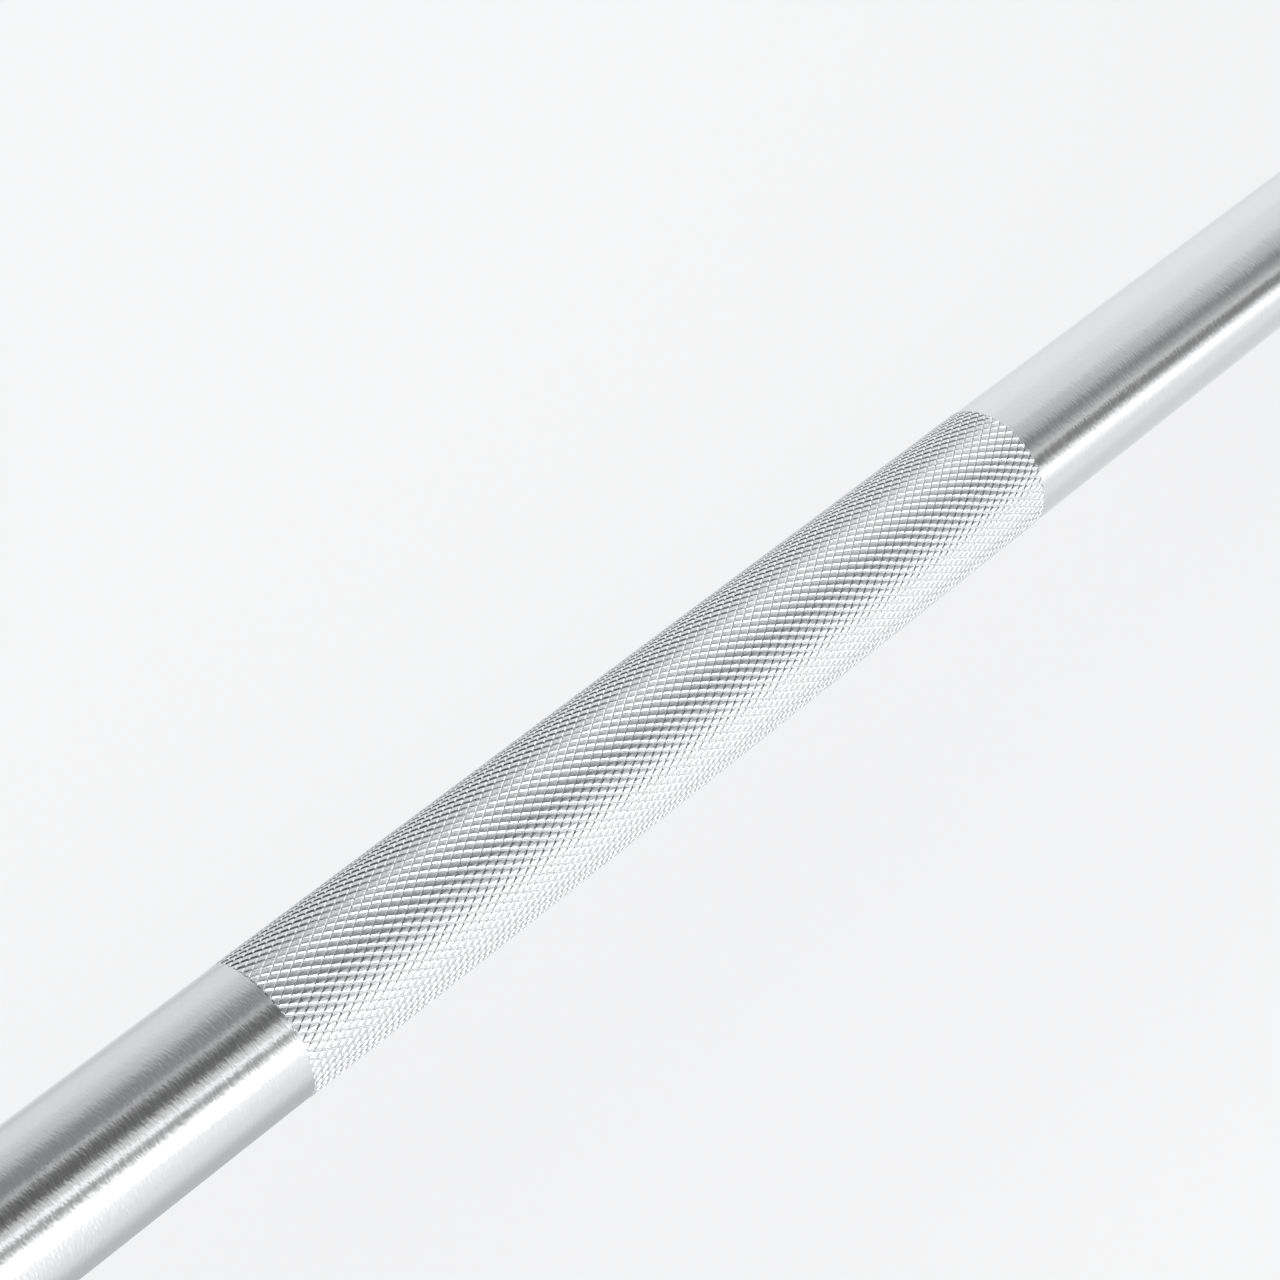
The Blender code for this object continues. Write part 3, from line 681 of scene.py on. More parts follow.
@dataclass
class Knurl:
    """A band of diamonds cut by two crossing sets of V grooves round the shaft."""

    name: str
    start: float
    length: float
    seed: int
    radius: float = 0.014
    round_count: int = 48
    pitch: float = 0.002985
    crest: float = 0.00012
    first_flank: float = 0.13
    first_groove: float = -0.00012
    second_flank: float = 0.205
    second_groove: float = -0.00026
    unevenness: float = 0.000012
    crown: float = 0.14
    worn_edge: float = 0.35
    end_slope: float = 0.0002
    end_sink: float = 0.00003
    wall: float = 0.0005

    def groove_height(self, place: Array, groove: float, flank: float) -> Array:
        """Height over the plain shaft: groove + (crest - groove) * distance / flank, at most the crest."""
        away = np.abs(place - np.round(place))
        return groove + (self.crest - groove) * np.minimum(away / flank, 1.0)

    def lattice(self) -> tuple[Array, Array, Array, Array]:
        """Angle, place along the band, unevenness and lean of every vertex.

        With u = n a / 2pi + x / p and v = n a / 2pi - x / p, the grooves lie where u or v is whole: n is
        the count round the shaft and p the pitch along it. The second wheel, whose grooves have whole v,
        cuts deeper than the first. Each cell has its vertices at 0, f and 1 - f, with f the groove's flank.

        Returns:
            (rows, columns) arrays of the angle a, of x before it is held to the band, of each top's own
            height, and of how a vertex leans on its top towards u and towards v: -1, 1, or 0 off the tops.
        """
        cells = int(round(self.length / self.pitch))
        reach = cells + 2
        first = np.array([0.0, self.first_flank, 1.0 - self.first_flank])
        second = np.array([0.0, self.second_flank, 1.0 - self.second_flank])
        rows = (np.arange(self.round_count)[:, None] + first).ravel()
        columns = (np.arange(-reach, reach + 1)[:, None] + second).ravel()
        u = np.broadcast_to(rows[:, None], (len(rows), len(columns)))
        v = np.floor(rows)[:, None] + columns[None, :]
        angle = math.pi * (u + v) / self.round_count
        along = self.pitch * (u - v) / 2
        chance = np.random.default_rng(self.seed)
        uneven = chance.normal(0.0, self.unevenness, (self.round_count, 2 * reach + 1))
        uneven = np.repeat(np.repeat(uneven, PER_CELL, axis=0), PER_CELL, axis=1)
        in_row = (np.arange(len(rows)) % PER_CELL)[:, None]
        in_column = (np.arange(len(columns)) % PER_CELL)[None, :]
        on_top = (in_row > 0) & (in_column > 0)
        lean_u = np.where(on_top, np.where(in_row == 1, -1.0, 1.0), 0.0)
        lean_v = np.where(on_top, np.where(in_column == 1, -1.0, 1.0), 0.0)
        return angle, along, np.where(on_top, uneven, 0.0), np.stack([lean_u, lean_v], axis=-1)

    def faces(self, held: Array, rows: int, columns: int) -> tuple[Array, Array]:
        """Quads of the flanks and tops, and triangles of the corners, split from crossing to apex.

        Args:
            held: for each vertex -1 or 1 where it is held to an end of the band, and 0 elsewhere.
            rows: number of vertex rows round the shaft.
            columns: number of vertices in a row.

        Returns:
            (m, 4) quads and (k, 3) triangles that face outwards.
        """
        row = np.arange(rows)[:, None]
        column = np.arange(columns - PER_CELL - 1)[None, :]
        shift = np.where(row % PER_CELL == PER_CELL - 1, PER_CELL, 0)
        low = row * columns + column + shift
        low_right = low + 1
        high = (row + 1) % rows * columns + column
        high_right = high + 1
        quads = np.stack([low, low_right, high_right, high], axis=-1).reshape(-1, 4)
        in_u = np.broadcast_to(row % PER_CELL, low.shape).ravel()
        in_v = np.broadcast_to(column % PER_CELL, low.shape).ravel()
        inside = self.off_ends(held, quads)
        corner = (in_u != 1) & (in_v != 1)
        rising = corner & (in_u == in_v) & inside
        falling = corner & (in_u != in_v) & inside
        up, down = quads[rising], quads[falling]
        halves = (up[:, [0, 1, 2]], up[:, [0, 2, 3]], down[:, [0, 1, 3]], down[:, [1, 2, 3]])
        triangles = np.concatenate(halves)
        return quads[inside & ~corner], triangles[self.off_ends(held, triangles)]

    @staticmethod
    def off_ends(held: Array, faces: Array) -> Array:
        """Which faces don't lie wholly on an end of the band."""
        state = held.ravel()[faces]
        return ~(np.all(state == 1, axis=1) | np.all(state == -1, axis=1))

    def build(self) -> Piece:
        """The band as a closed sleeve: the diamonds, a slope at each end and a wall inside.

        A point's radius is the shaft's plus the lower of the two grooves' heights there.

        Returns:
            The band's object, not yet dressed.
        """
        angle, along, uneven, lean = self.lattice()
        half = self.length / 2
        held = np.where(along > half - ON_THE_END, 1, 0) - np.where(along < -half + ON_THE_END, 1, 0)
        along = np.clip(along, -half, half)
        turn = self.round_count * angle / (2 * math.pi)
        height = np.minimum(
            self.groove_height(turn + along / self.pitch, self.first_groove, self.first_flank),
            self.groove_height(turn - along / self.pitch, self.second_groove, self.second_flank),
        )
        reach = self.radius + height + np.where(held == 0, uneven, 0.0)
        middle = self.start + half
        points = round_shaft(middle + along, reach, angle).reshape(-1, 3)
        quads, triangles = self.faces(held, *angle.shape)
        edge_points, edge_faces = self.close_ends(points, angle.ravel(), held.ravel(), quads, triangles)
        every = np.concatenate([points, edge_points])
        used = np.unique(np.concatenate([block.ravel() for block in (quads, triangles, edge_faces)]))
        renumber = np.zeros(len(every), dtype=np.int64)
        renumber[used] = np.arange(len(used))
        blocks = [renumber[quads], renumber[triangles], renumber[edge_faces]]
        obj = put_surface(self.name, every[used], blocks)
        domed = self.domed_normals(angle.ravel(), lean.reshape(-1, 2), held.ravel())
        domed = np.concatenate([domed, np.zeros((len(edge_points), 3))])[used]
        return self.shade_worn(obj, every[used], blocks, domed)

    def domed_normals(self, angle: Array, lean: Array, held: Array) -> Array:
        """Way that the worn, slightly domed tops face at their corners.

        With c the way straight out of the shaft and g, h the ways in which u and v grow along its surface,
        a corner faces along c + k (s g + t h), where k is the crown and s, t are the corner's leans.

        Args:
            angle: angle round the shaft of each vertex.
            lean: its leans towards u and v, 0 off the tops.
            held: -1 or 1 where it lies on an end.

        Returns:
            (n, 3) unit vectors, or zeros off the tops and on the ends.
        """
        zero = np.zeros_like(angle)
        out = round_shaft(zero, 1.0, angle)
        around = np.stack([zero, -np.cos(angle), -np.sin(angle)], axis=-1)
        rise = unit(np.array([self.round_count / (2 * math.pi * self.radius), 1.0 / self.pitch]))
        along = np.array([1.0, 0.0, 0.0])
        to_u, to_v = rise[0] * around + rise[1] * along, rise[0] * around - rise[1] * along
        facing = unit(out + self.crown * (lean[:, :1] * to_u + lean[:, 1:] * to_v))
        return np.where(((lean[:, 0] != 0) & (held == 0))[:, None], facing, 0.0)

    def shade_worn(self, obj: Piece, points: Array, blocks: list[Array], domed: Array) -> Piece:
        """Shades the tops as shallow domes, and rounds the flanks over into them.

        A flank's corner that touches a top faces (1 - k) n + k d, with n the flank's own way, d the top's
        way at that corner and k the wear of the edge. Every other corner faces as its face does.

        Args:
            obj: the band.
            points: its vertices.
            blocks: its faces, as they were put in the mesh.
            domed: way of each vertex that lies on a top, and zeros for the others.

        Returns:
            The same object.
        """
        every = []
        for block in blocks:
            corners = points[block]
            four = block.shape[1] == 4
            far = corners[:, 3] if four else corners[:, 0]
            flat = unit(np.cross(corners[:, 1] - far, corners[:, 2] - corners[:, 0]))
            own = domed[block]
            on_top = np.any(own != 0, axis=2)
            whole = np.all(on_top, axis=1) & four
            share = np.where(on_top, np.where(whole[:, None], 1.0, self.worn_edge), 0.0)[..., None]
            every.append(((1 - share) * flat[:, None, :] + share * own).reshape(-1, 3))
        every = unit(np.concatenate(every))
        obj.data.shade_smooth()
        obj.data.normals_split_custom_set(every.astype(np.float32).tolist())
        return obj

    def close_ends(
        self, points: Array, angle: Array, held: Array, quads: Array, triangles: Array
    ) -> tuple[Array, Array]:
        """Slopes each end down into the shaft, and joins both ends by an inner wall.

        Args:
            points: every vertex of the lattice.
            angle: its angle round the shaft.
            held: -1 or 1 where it lies on an end.
            quads: the band's quads.
            triangles: the band's triangles.

        Returns:
            New points, numbered after the lattice's, and the quads that use them.
        """
        pairs = [(block, size, a) for block, size in ((quads, 4), (triangles, 3)) for a in range(size)]
        edges = np.concatenate([block[:, [a, (a + 1) % size]] for block, size, a in pairs])
        key = np.sort(edges, axis=1)
        _, first, count = np.unique(key, axis=0, return_index=True, return_counts=True)
        open_edges = edges[first[count == 1]]
        extra, faces, rings = [], [], []
        base = len(points)
        for end in (-1, 1):
            loop = open_edges[held[open_edges[:, 0]] == end]
            follow = np.full(len(points), -1)
            follow[loop[:, 0]] = loop[:, 1]
            around = np.mod(angle[loop[:, 0]], 2 * math.pi)
            ring = [int(loop[np.argmin(around), 0])]
            while len(ring) < len(loop):
                ring.append(int(follow[ring[-1]]))
            ring = np.array(ring)
            turn = angle[ring]
            x = points[ring, 0] + end * self.end_slope
            for radius in (self.radius - self.end_sink, self.radius - self.wall):
                extra.append(round_shaft(x, radius, turn))
            slope = base + np.arange(len(ring))
            inner = slope + len(ring)
            base += 2 * len(ring)
            for low, high in ((ring, slope), (slope, inner)):
                faces.append(np.stack([np.roll(low, -1), low, high, np.roll(high, -1)], axis=-1))
            rings.append(inner)
        back, front = rings
        mirror = np.roll(front[::-1], 1)
        faces.append(np.stack([back, np.roll(back, -1), np.roll(mirror, -1), mirror], axis=-1)[:, ::-1])
        return np.concatenate(extra), np.concatenate(faces)


@dataclass
class Shaft:
    """The shaft: plain between its knurled bands, with a spigot and a tapped hole at each end."""

    radius: float = 0.014
    shoulder: float = 0.480
    shoulder_chamfer: float = 0.0005
    spigot_radius: float = 0.012
    spigot_end: float = 0.5362
    spigot_chamfer: float = 0.0015
    hole_radius: float = 0.0083
    hole_mouth: float = 0.001
    hole_end: float = 0.5011
    hole_tip: float = 0.49612
    pin_hole: PinHole = PinHole()
    under_band: float = 0.00055
    crisp_angle: float = 25.0
    turns: int = 256
    bands: list[Knurl] = field(
        default_factory=lambda: [
            Knurl("left_grip_knurl", -0.430, 0.200, 11),
            Knurl("centre_knurl", -0.100, 0.200, 12),
            Knurl("right_grip_knurl", 0.230, 0.200, 13),
        ]
    )

    def outline(self) -> Array:
        """Outline from the left hole's tip to the right one's, with a seat turned down under each band."""
        half = [
            (0.0, self.hole_tip),
            (self.hole_radius, self.hole_end),
            (self.hole_radius, self.spigot_end - self.hole_mouth),
            (self.hole_radius + self.hole_mouth, self.spigot_end),
            (self.spigot_radius - self.spigot_chamfer, self.spigot_end),
            (self.spigot_radius, self.spigot_end - self.spigot_chamfer),
            (self.spigot_radius, self.shoulder),
            (self.radius - self.shoulder_chamfer, self.shoulder),
            (self.radius, self.shoulder - self.shoulder_chamfer),
        ]
        seat = self.radius - self.under_band
        corners = [(radius, -height) for radius, height in half]
        for band in self.bands:
            end = band.start + band.length
            corners += [(self.radius, band.start), (seat, band.start), (seat, end), (self.radius, end)]
        return plain_outline(corners + half[::-1])

    def build(self) -> list[Piece]:
        """Makes the plain shaft and its knurled bands.

        Returns:
            The plain shaft first, then the bands.
        """
        points, faces = lathe(self.outline(), self.turns, closed=False)
        plain = put_surface("plain_shaft", turn_to(Side.RIGHT, points), faces)
        cut_away(plain, [self.pin_hole.cutter(f"{side.word}_pin_hole", side) for side in Side])
        shade_from_angle(plain, self.crisp_angle)
        pieces = [show(plain, SATIN_CHROME, "shaft")]
        pieces += [show(band.build(), KNURL_CHROME, "shaft") for band in self.bands]
        return pieces


# Weight heads


@dataclass
class Head:
    """One end of the barbell: the collar, its pin, the casing, the end cap and its screws."""

    side: Side
    collar_start: float = 0.4803
    collar_end: float = 0.5123
    casing_start: float = 0.5126
    casing_end: float = 0.5726
    core_start: float = 0.5206
    core_end: float = 0.5646
    cap_start: float = 0.5649
    cap_end: float = 0.5699
    gap: float = 0.0003
    fine_edge: float = 0.0003
    turned_edge: float = 0.0015
    crisp_angle: float = 30.0
    collar_bore: float = 0.0123
    nose_radius: float = 0.020
    nose_length: float = 0.016
    taper_end: float = 0.019
    taper_edge: float = 0.001
    body_radius: float = 0.024
    flange_radius: float = 0.036
    flange_depth: float = 0.009
    collar_turns: int = 160
    casing_reach: float = 0.088
    core_reach: float = 0.080
    casing_edge: float = 0.006
    core_edge: float = 0.003
    corner_radius: float = 0.0224
    hub_radius: float = 0.032
    cap_radius: float = 0.042
    panel_depth: float = 0.002
    panel_slope: float = 0.0015
    panel_rim: float = 0.074
    outer_hub: float = 0.048
    inner_hub: float = 0.042
    soft_edge: float = 0.0007
    edge_lead: float = 0.001
    mould_line: float = 0.00015
    mould_spread: float = 3.0
    sides: int = 12
    casing_turns: int = 288
    casing_crisp: float = 40.0
    dish_radius: float = 0.022
    dish_floor: float = 0.020
    dish_depth: float = 0.0012
    dish_edge: float = 0.0004
    cap_turns: int = 192
    cap_cut: float = 0.002
    pin_hole: PinHole = PinHole()
    pin_radius: float = 0.003
    pin_wall: float = 0.0012
    pin_slot: float = 0.0012
    pin_reach: float = 0.0192
    pin_edge: float = 0.0004
    pin_edge_steps: int = 3
    screw_count: int = 3
    screw_circle: float = 0.032
    screw_top: float = 0.5697
    screw_length: float = 0.014
    screw_radius: float = 0.0025
    screw_head: float = 0.00475
    screw_head_depth: float = 0.0028
    screw_edge: float = 0.0002
    screw_turns: int = 96
    socket_sides: int = 6
    socket_reach: float = 0.0015
    socket_mouth: float = 0.0001
    socket_depth: float = 0.0018
    socket_tip: float = 0.0004

    def name(self, piece: str) -> str:
        """The piece's name with its side."""
        return f"{self.side.word}_{piece}"

    def put(self, name: str, surface: Surface) -> Piece:
        """Makes a piece from points and faces in the end frame, turned to its side."""
        points, faces = surface
        return put_surface(self.name(name), turn_to(self.side, points), faces)

    def casing_outline(self) -> Array:
        """Section of the casing's wall: from the hub's opening round the outside to the hollow."""
        start, end = self.casing_start, self.casing_end
        deep, slope, soft = self.panel_depth, self.panel_slope, self.soft_edge
        middle = (start + end) / 2
        hollow = self.core_reach + self.gap
        inside, outside = self.core_start - self.gap, self.core_end + self.gap
        lead = self.casing_reach - self.casing_edge - self.edge_lead
        line, spread = self.mould_line, self.mould_spread * self.mould_line
        corners = [
            (self.hub_radius + self.gap, start, soft / 2, 0),
            (self.inner_hub, start, soft, 0),
            (self.inner_hub + slope, start + deep, soft, 0),
            (self.panel_rim - slope, start + deep, soft, 0),
            (self.panel_rim, start, soft, 0),
            (lead, start, 0, 1),
            (self.casing_reach, start, self.casing_edge, 1),
            (self.casing_reach, middle - spread, 0, 1),
            (self.casing_reach - line, middle, 0, 1),
            (self.casing_reach, middle + spread, 0, 1),
            (self.casing_reach, end, self.casing_edge, 1),
            (lead, end, 0, 1),
            (self.panel_rim, end, soft, 0),
            (self.panel_rim - slope, end - deep, soft, 0),
            (self.outer_hub + slope, end - deep, soft, 0),
            (self.outer_hub, end, soft, 0),
            (self.cap_radius + self.gap, end, soft / 2, 0),
            (self.cap_radius + self.gap, outside, 0, 0),
            (hollow, outside, self.core_edge, 1),
            (hollow, inside, self.core_edge, 1),
            (self.hub_radius + self.gap, inside, 0, 0),
        ]
        return round_corners(corners, ARC_STEPS, closed=True)

    def build_casing(self) -> Piece:
        """The rubber casing: twelve flats with rounded corners outside, round panels and openings."""
        turns, rounding = self.casing_turns, self.corner_radius / self.casing_reach
        swell = polygon_swell(turn_angles(turns), self.sides, rounding)
        surface = lathe(self.casing_outline(), turns, closed=True, swell=swell)
        casing = self.put("rubber_casing", surface)
        shade_from_angle(casing, self.casing_crisp)
        return show(casing, RUBBER, self.name("weight_casing"))

    def build_collar(self) -> Piece:
        """The inner collar: nose, taper, body and flange, with the pin's hole drilled through."""
        start, end, edge, flange = self.collar_start, self.collar_end, self.turned_edge, self.flange_radius
        corners = [
            (self.collar_bore, start, self.fine_edge, 0),
            (self.nose_radius, start, edge, 0),
            (self.nose_radius, start + self.nose_length, self.taper_edge, 0),
            (self.body_radius, start + self.taper_end, self.taper_edge, 0),
            (self.body_radius, end - self.flange_depth, edge, 0),
            (flange, end - self.flange_depth, edge, 0),
            (flange, end, edge, 0),
            (self.collar_bore, end, self.fine_edge, 0),
        ]
        outline = round_corners(corners, ARC_STEPS, closed=True)
        collar = self.put("turned_collar", lathe(outline, self.collar_turns, closed=True))
        cut_away(collar, [self.pin_hole.cutter(self.name("collar_hole"), self.side)])
        shade_from_angle(collar, self.crisp_angle)
        return show(collar, TURNED_STEEL, self.name("collar"))

    def build_pin(self) -> Piece:
        """The slotted spring pin: a rolled strip with chamfered ends, stood up through the collar."""
        reach, outer, wall = self.pin_reach, self.pin_radius, self.pin_wall
        corners = [
            (outer - wall, -reach, 0, 0),
            (outer - wall / 2, -reach, 0, 0),
            (outer, -reach + wall, self.pin_edge, 0),
            (outer, reach - wall, self.pin_edge, 0),
            (outer - wall / 2, reach, 0, 0),
            (outer - wall, reach, 0, 0),
        ]
        outline = round_corners(corners, self.pin_edge_steps, closed=True)
        half_slot = math.asin(self.pin_slot / 2 / outer)
        points, faces = lathe(outline, SMALL_TURNS, closed=True, arc=(half_slot, 2 * math.pi - half_slot))
        sign = self.side.value
        points = points * np.array([sign, sign, 1.0]) + np.array([sign * self.pin_hole.place, 0.0, 0.0])
        pin = shade_from_angle(put_surface(self.name("rolled_pin"), points, faces), self.crisp_angle)
        return show(pin, SPRING, self.name("spring_pin"))

    def screw_places(self) -> list[Pair]:
        """Centres of the cap screws in the end frame, the first at the top."""
        angles = [math.pi + 2 * math.pi * number / self.screw_count for number in range(self.screw_count)]
        return [(self.screw_circle * math.cos(a), self.screw_circle * math.sin(a)) for a in angles]

    def build_cap(self) -> Piece:
        """The end cap: a turned disc with a shallow dish and three countersunk holes."""
        start, end = self.cap_start, self.cap_end
        corners = [
            (0.0, start, 0, 0),
            (self.cap_radius, start, self.fine_edge, 0),
            (self.cap_radius, end, self.turned_edge, 0),
            (self.dish_radius, end, self.dish_edge, 0),
            (self.dish_floor, end - self.dish_depth, self.dish_edge, 0),
            (0.0, end - self.dish_depth, 0, 0),
        ]
        outline = round_corners(corners, ARC_STEPS, closed=False)
        cap = self.put("turned_cap", lathe(outline, self.cap_turns, closed=False))
        hole = self.screw_outline(self.gap, end + self.cap_cut, start - self.cap_cut)
        cutters = [
            self.put(f"cap_hole_{number}", lathe(hole, SMALL_TURNS, closed=False, centre=place))
            for number, place in enumerate(self.screw_places(), start=1)
        ]
        cut_away(cap, cutters)
        shade_from_angle(cap, self.crisp_angle)
        return show(cap, CAP_CHROME, self.name("end_cap"))

    def screw_outline(self, margin: float, top: float, tip: float) -> Array:
        """Outline of a countersunk screw grown by a margin, from its tip to its top."""
        neck = self.screw_top - self.screw_head_depth
        rows = [
            (0.0, tip),
            (self.screw_radius + margin, tip),
            (self.screw_radius + margin, neck),
            (self.screw_head + margin, self.screw_top - self.gap),
            (self.screw_head + margin, top),
            (0.0, top),
        ]
        return plain_outline(rows)

    def build_screws(self) -> list[Piece]:
        """The countersunk cap screws, each with its hexagon socket."""
        screws = []
        swell = polygon_swell(turn_angles(self.screw_turns), self.socket_sides, 0.0)
        top, floor = self.screw_top, self.screw_top - self.socket_depth
        body = self.screw_outline(0.0, top, top - self.screw_length)[:-1]
        body[-1, 0] -= self.screw_edge
        socket = [
            (self.socket_reach + self.socket_mouth, top, 1.0),
            (self.socket_reach, top - self.socket_mouth, 1.0),
            (self.socket_reach, floor, 1.0),
            (0.0, floor - self.socket_tip, 1.0),
        ]
        outline = np.concatenate([body, socket])
        for number, place in enumerate(self.screw_places(), start=1):
            surface = lathe(outline, self.screw_turns, closed=False, swell=swell, centre=place)
            screw = shade_from_angle(self.put(f"socket_screw_{number}", surface), self.crisp_angle)
            screws.append(show(screw, ZINC, self.name(f"cap_screw_{number}")))
        return screws

    def dress_hidden(self) -> None:
        """Gives the pieces inside the head their finishes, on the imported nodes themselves."""
        inside = {"weight_core": IRON, "washer": ZINC, "lock_washer": SPRING, "end_bolt": ZINC}
        inside |= {"drive_dowel_1": TURNED_STEEL, "drive_dowel_2": TURNED_STEEL}
        for piece, finish in inside.items():
            finish.dress_node(self.name(piece))

    def build(self) -> list[Piece]:
        """Makes the whole end.

        Returns:
            The new pieces.
        """
        made = [self.build_casing(), self.build_collar(), self.build_pin(), self.build_cap()]
        made += self.build_screws()
        self.dress_hidden()
        return made


# Studio


def display_to_linear(display: float) -> float:
    """Linear light of a display level from 0 to 1, by the standard display curve."""
    toe, toe_slope, offset, power = 0.04045, 12.92, 0.055, 2.4
    return display / toe_slope if display <= toe else ((display + offset) / (1 + offset)) ** power


@dataclass(frozen=True)
class Strip:
    """A long strip of the surroundings, as the metal mirrors it.

    Its middle and half its width are in degrees round the strips' direction. Its level is how light the
    metal looks there, cool how much bluer than grey it is, and gain how much brighter than its level.
    """

    what: str
    middle: float
    half_width: float
    level: float
    cool: float = 0.0
    gain: float = 1.0

    def colour(self, reflectance: float) -> Colour:
        """Light that makes a metal of this reflectance show at the strip's level."""
        light = self.gain * display_to_linear(self.level) / reflectance
        more_blue = 1.5 * self.cool
        return (light * (1 - self.cool), light, light * (1 + more_blue), 1.0)


Strips = tuple[Strip, ...]


@dataclass
class Studio:
    """The pale floor, the surroundings that the metal mirrors, and the soft light."""

    floor_height: float = -0.088
    floor_reach: float = 60.0
    floor_colour: Triple = (0.918, 0.920, 0.930)
    plain_share: float = 0.62
    dome_from: float = -0.2
    dome_low: Triple = (0.752, 0.76, 0.776)
    dome_high: Triple = (0.824, 0.824, 0.816)
    lamp: float = 0.20
    lamp_angle: float = 100.0
    lamp_height: float = 2.0
    reflectance: float = 0.935
    strip_axis: Triple = (0.90499, -0.39500, -0.15800)
    leftward: Strips = (
        Strip("floor to the left", -180.0, 30.0, 0.66, 0.006),
        Strip("side softbox", -92.0, 14.0, 0.80, 0.004),
        Strip("dark side wall", -20.0, 34.0, 0.26, 0.006),
        Strip("side wall", 60.0, 14.0, 0.50, 0.008),
        Strip("far corner", 120.0, 10.0, 0.78, 0.006),
    )
    facing: Strips = (
        Strip("floor straight below", -180.0, 10.0, 0.84, 0.006),
        Strip("foot of the wide softbox", -142.0, 4.0, 0.94, 0.004),
        Strip("wide softbox", -87.0, 37.0, 1.0, 0.0, 2.7),
        Strip("dark ceiling", 7.0, 33.0, 0.20),
        Strip("ceiling's far side", 60.0, 3.0, 0.60, 0.006),
        Strip("back wall", 90.0, 6.0, 0.90, 0.008),
        Strip("floor at the back", 142.0, 14.0, 0.96, 0.004),
    )
    straight: Strips = (
        Strip("floor straight below", -180.0, 10.0, 0.87, 0.006),
        Strip("foot of the wide softbox", -142.0, 4.0, 0.80, 0.004),
        Strip("wide softbox's bright foot", -100.0, 14.0, 1.0, 0.0, 2.2),
        Strip("wide softbox", -69.0, 15.0, 0.97, 0.002),
        Strip("dark ceiling", 7.0, 31.0, 0.26),
        Strip("ceiling's far side", 60.0, 3.0, 0.60, 0.006),
        Strip("back wall", 90.0, 6.0, 0.88, 0.008),
        Strip("floor at the back", 142.0, 14.0, 0.92, 0.004),
    )
    square_on: Strips = (
        Strip("floor straight below", -180.0, 8.0, 0.72, 0.008),
        Strip("floor towards the front", -130.0, 0.0, 0.87, 0.008),
        Strip("foot of the front softbox", -98.0, 0.0, 0.93, 0.004),
        Strip("front softbox's lower edge", -86.5, 0.0, 0.95),
        Strip("front softbox", -72.0, 4.5, 1.0, 0.0, 3.0),
        Strip("front softbox's upper edge", -62.5, 0.0, 1.0),
        Strip("gap over the softbox", -47.5, 1.8, 0.60),
        Strip("thin strip", -38.0, 1.4, 1.0),
        Strip("beside the strip", -32.0, 1.5, 0.80),
        Strip("dark ceiling", -14.6, 3.9, 0.37),
        Strip("beside the joint", -3.5, 0.0, 0.47),
        Strip("light joint", 2.6, 0.8, 0.70),
        Strip("grey ceiling", 14.0, 6.0, 0.515, 0.012),
        Strip("ceiling's far side", 45.0, 0.0, 0.745, 0.012),
        Strip("foot of the ceiling", 60.0, 0.0, 0.80, 0.012),
        Strip("back wall", 78.0, 12.0, 0.835, 0.012),
        Strip("foot of the back wall", 110.0, 0.0, 0.775, 0.008),
        Strip("floor at the back", 132.0, 4.0, 0.845, 0.006),
        Strip("floor behind the bar", 166.0, 5.0, 0.72, 0.008),
    )
    along: Strips = (
        Strip("floor straight below", -180.0, 12.0, 0.82, 0.008),
        Strip("floor towards the front", -125.0, 12.0, 0.88, 0.006),
        Strip("front softbox's lower edge", -91.0, 0.0, 0.97),
        Strip("front softbox", -79.5, 3.5, 1.0, 0.0, 1.3),
        Strip("front softbox's upper edge", -69.5, 0.0, 0.965),
        Strip("gap over the softbox", -42.6, 6.0, 0.49),
        Strip("thin strip", -30.3, 0.7, 0.80),
        Strip("beside the strip", -24.5, 1.0, 0.66),
        Strip("dark ceiling", -10.5, 2.0, 0.51, 0.006),
        Strip("beside the ceiling", 2.5, 0.0, 0.685, 0.010),
        Strip("grey ceiling", 12.0, 0.0, 0.725, 0.010),
        Strip("ceiling's far side", 27.0, 3.0, 0.83, 0.012),
        Strip("foot of the ceiling", 42.0, 2.0, 0.85, 0.010),
        Strip("back wall", 74.0, 14.0, 0.885, 0.010),
        Strip("foot of the back wall", 106.0, 0.0, 0.86, 0.008),
        Strip("floor at the back", 134.0, 5.0, 0.90, 0.006),
        Strip("floor behind the bar", 164.0, 6.0, 0.825, 0.008),
    )
    end_on: Strips = (
        Strip("floor straight below", -180.0, 14.0, 0.60, 0.006),
        Strip("front softbox", -84.0, 38.0, 1.0, 0.0, 1.4),
        Strip("ceiling", 20.0, 24.0, 1.0, 0.0, 1.5),
        Strip("back wall", 76.0, 6.0, 0.95, 0.006),
        Strip("dark corner", 116.0, 10.0, 0.34, 0.006),
        Strip("floor at the back", 146.0, 6.0, 0.70, 0.006),
    )

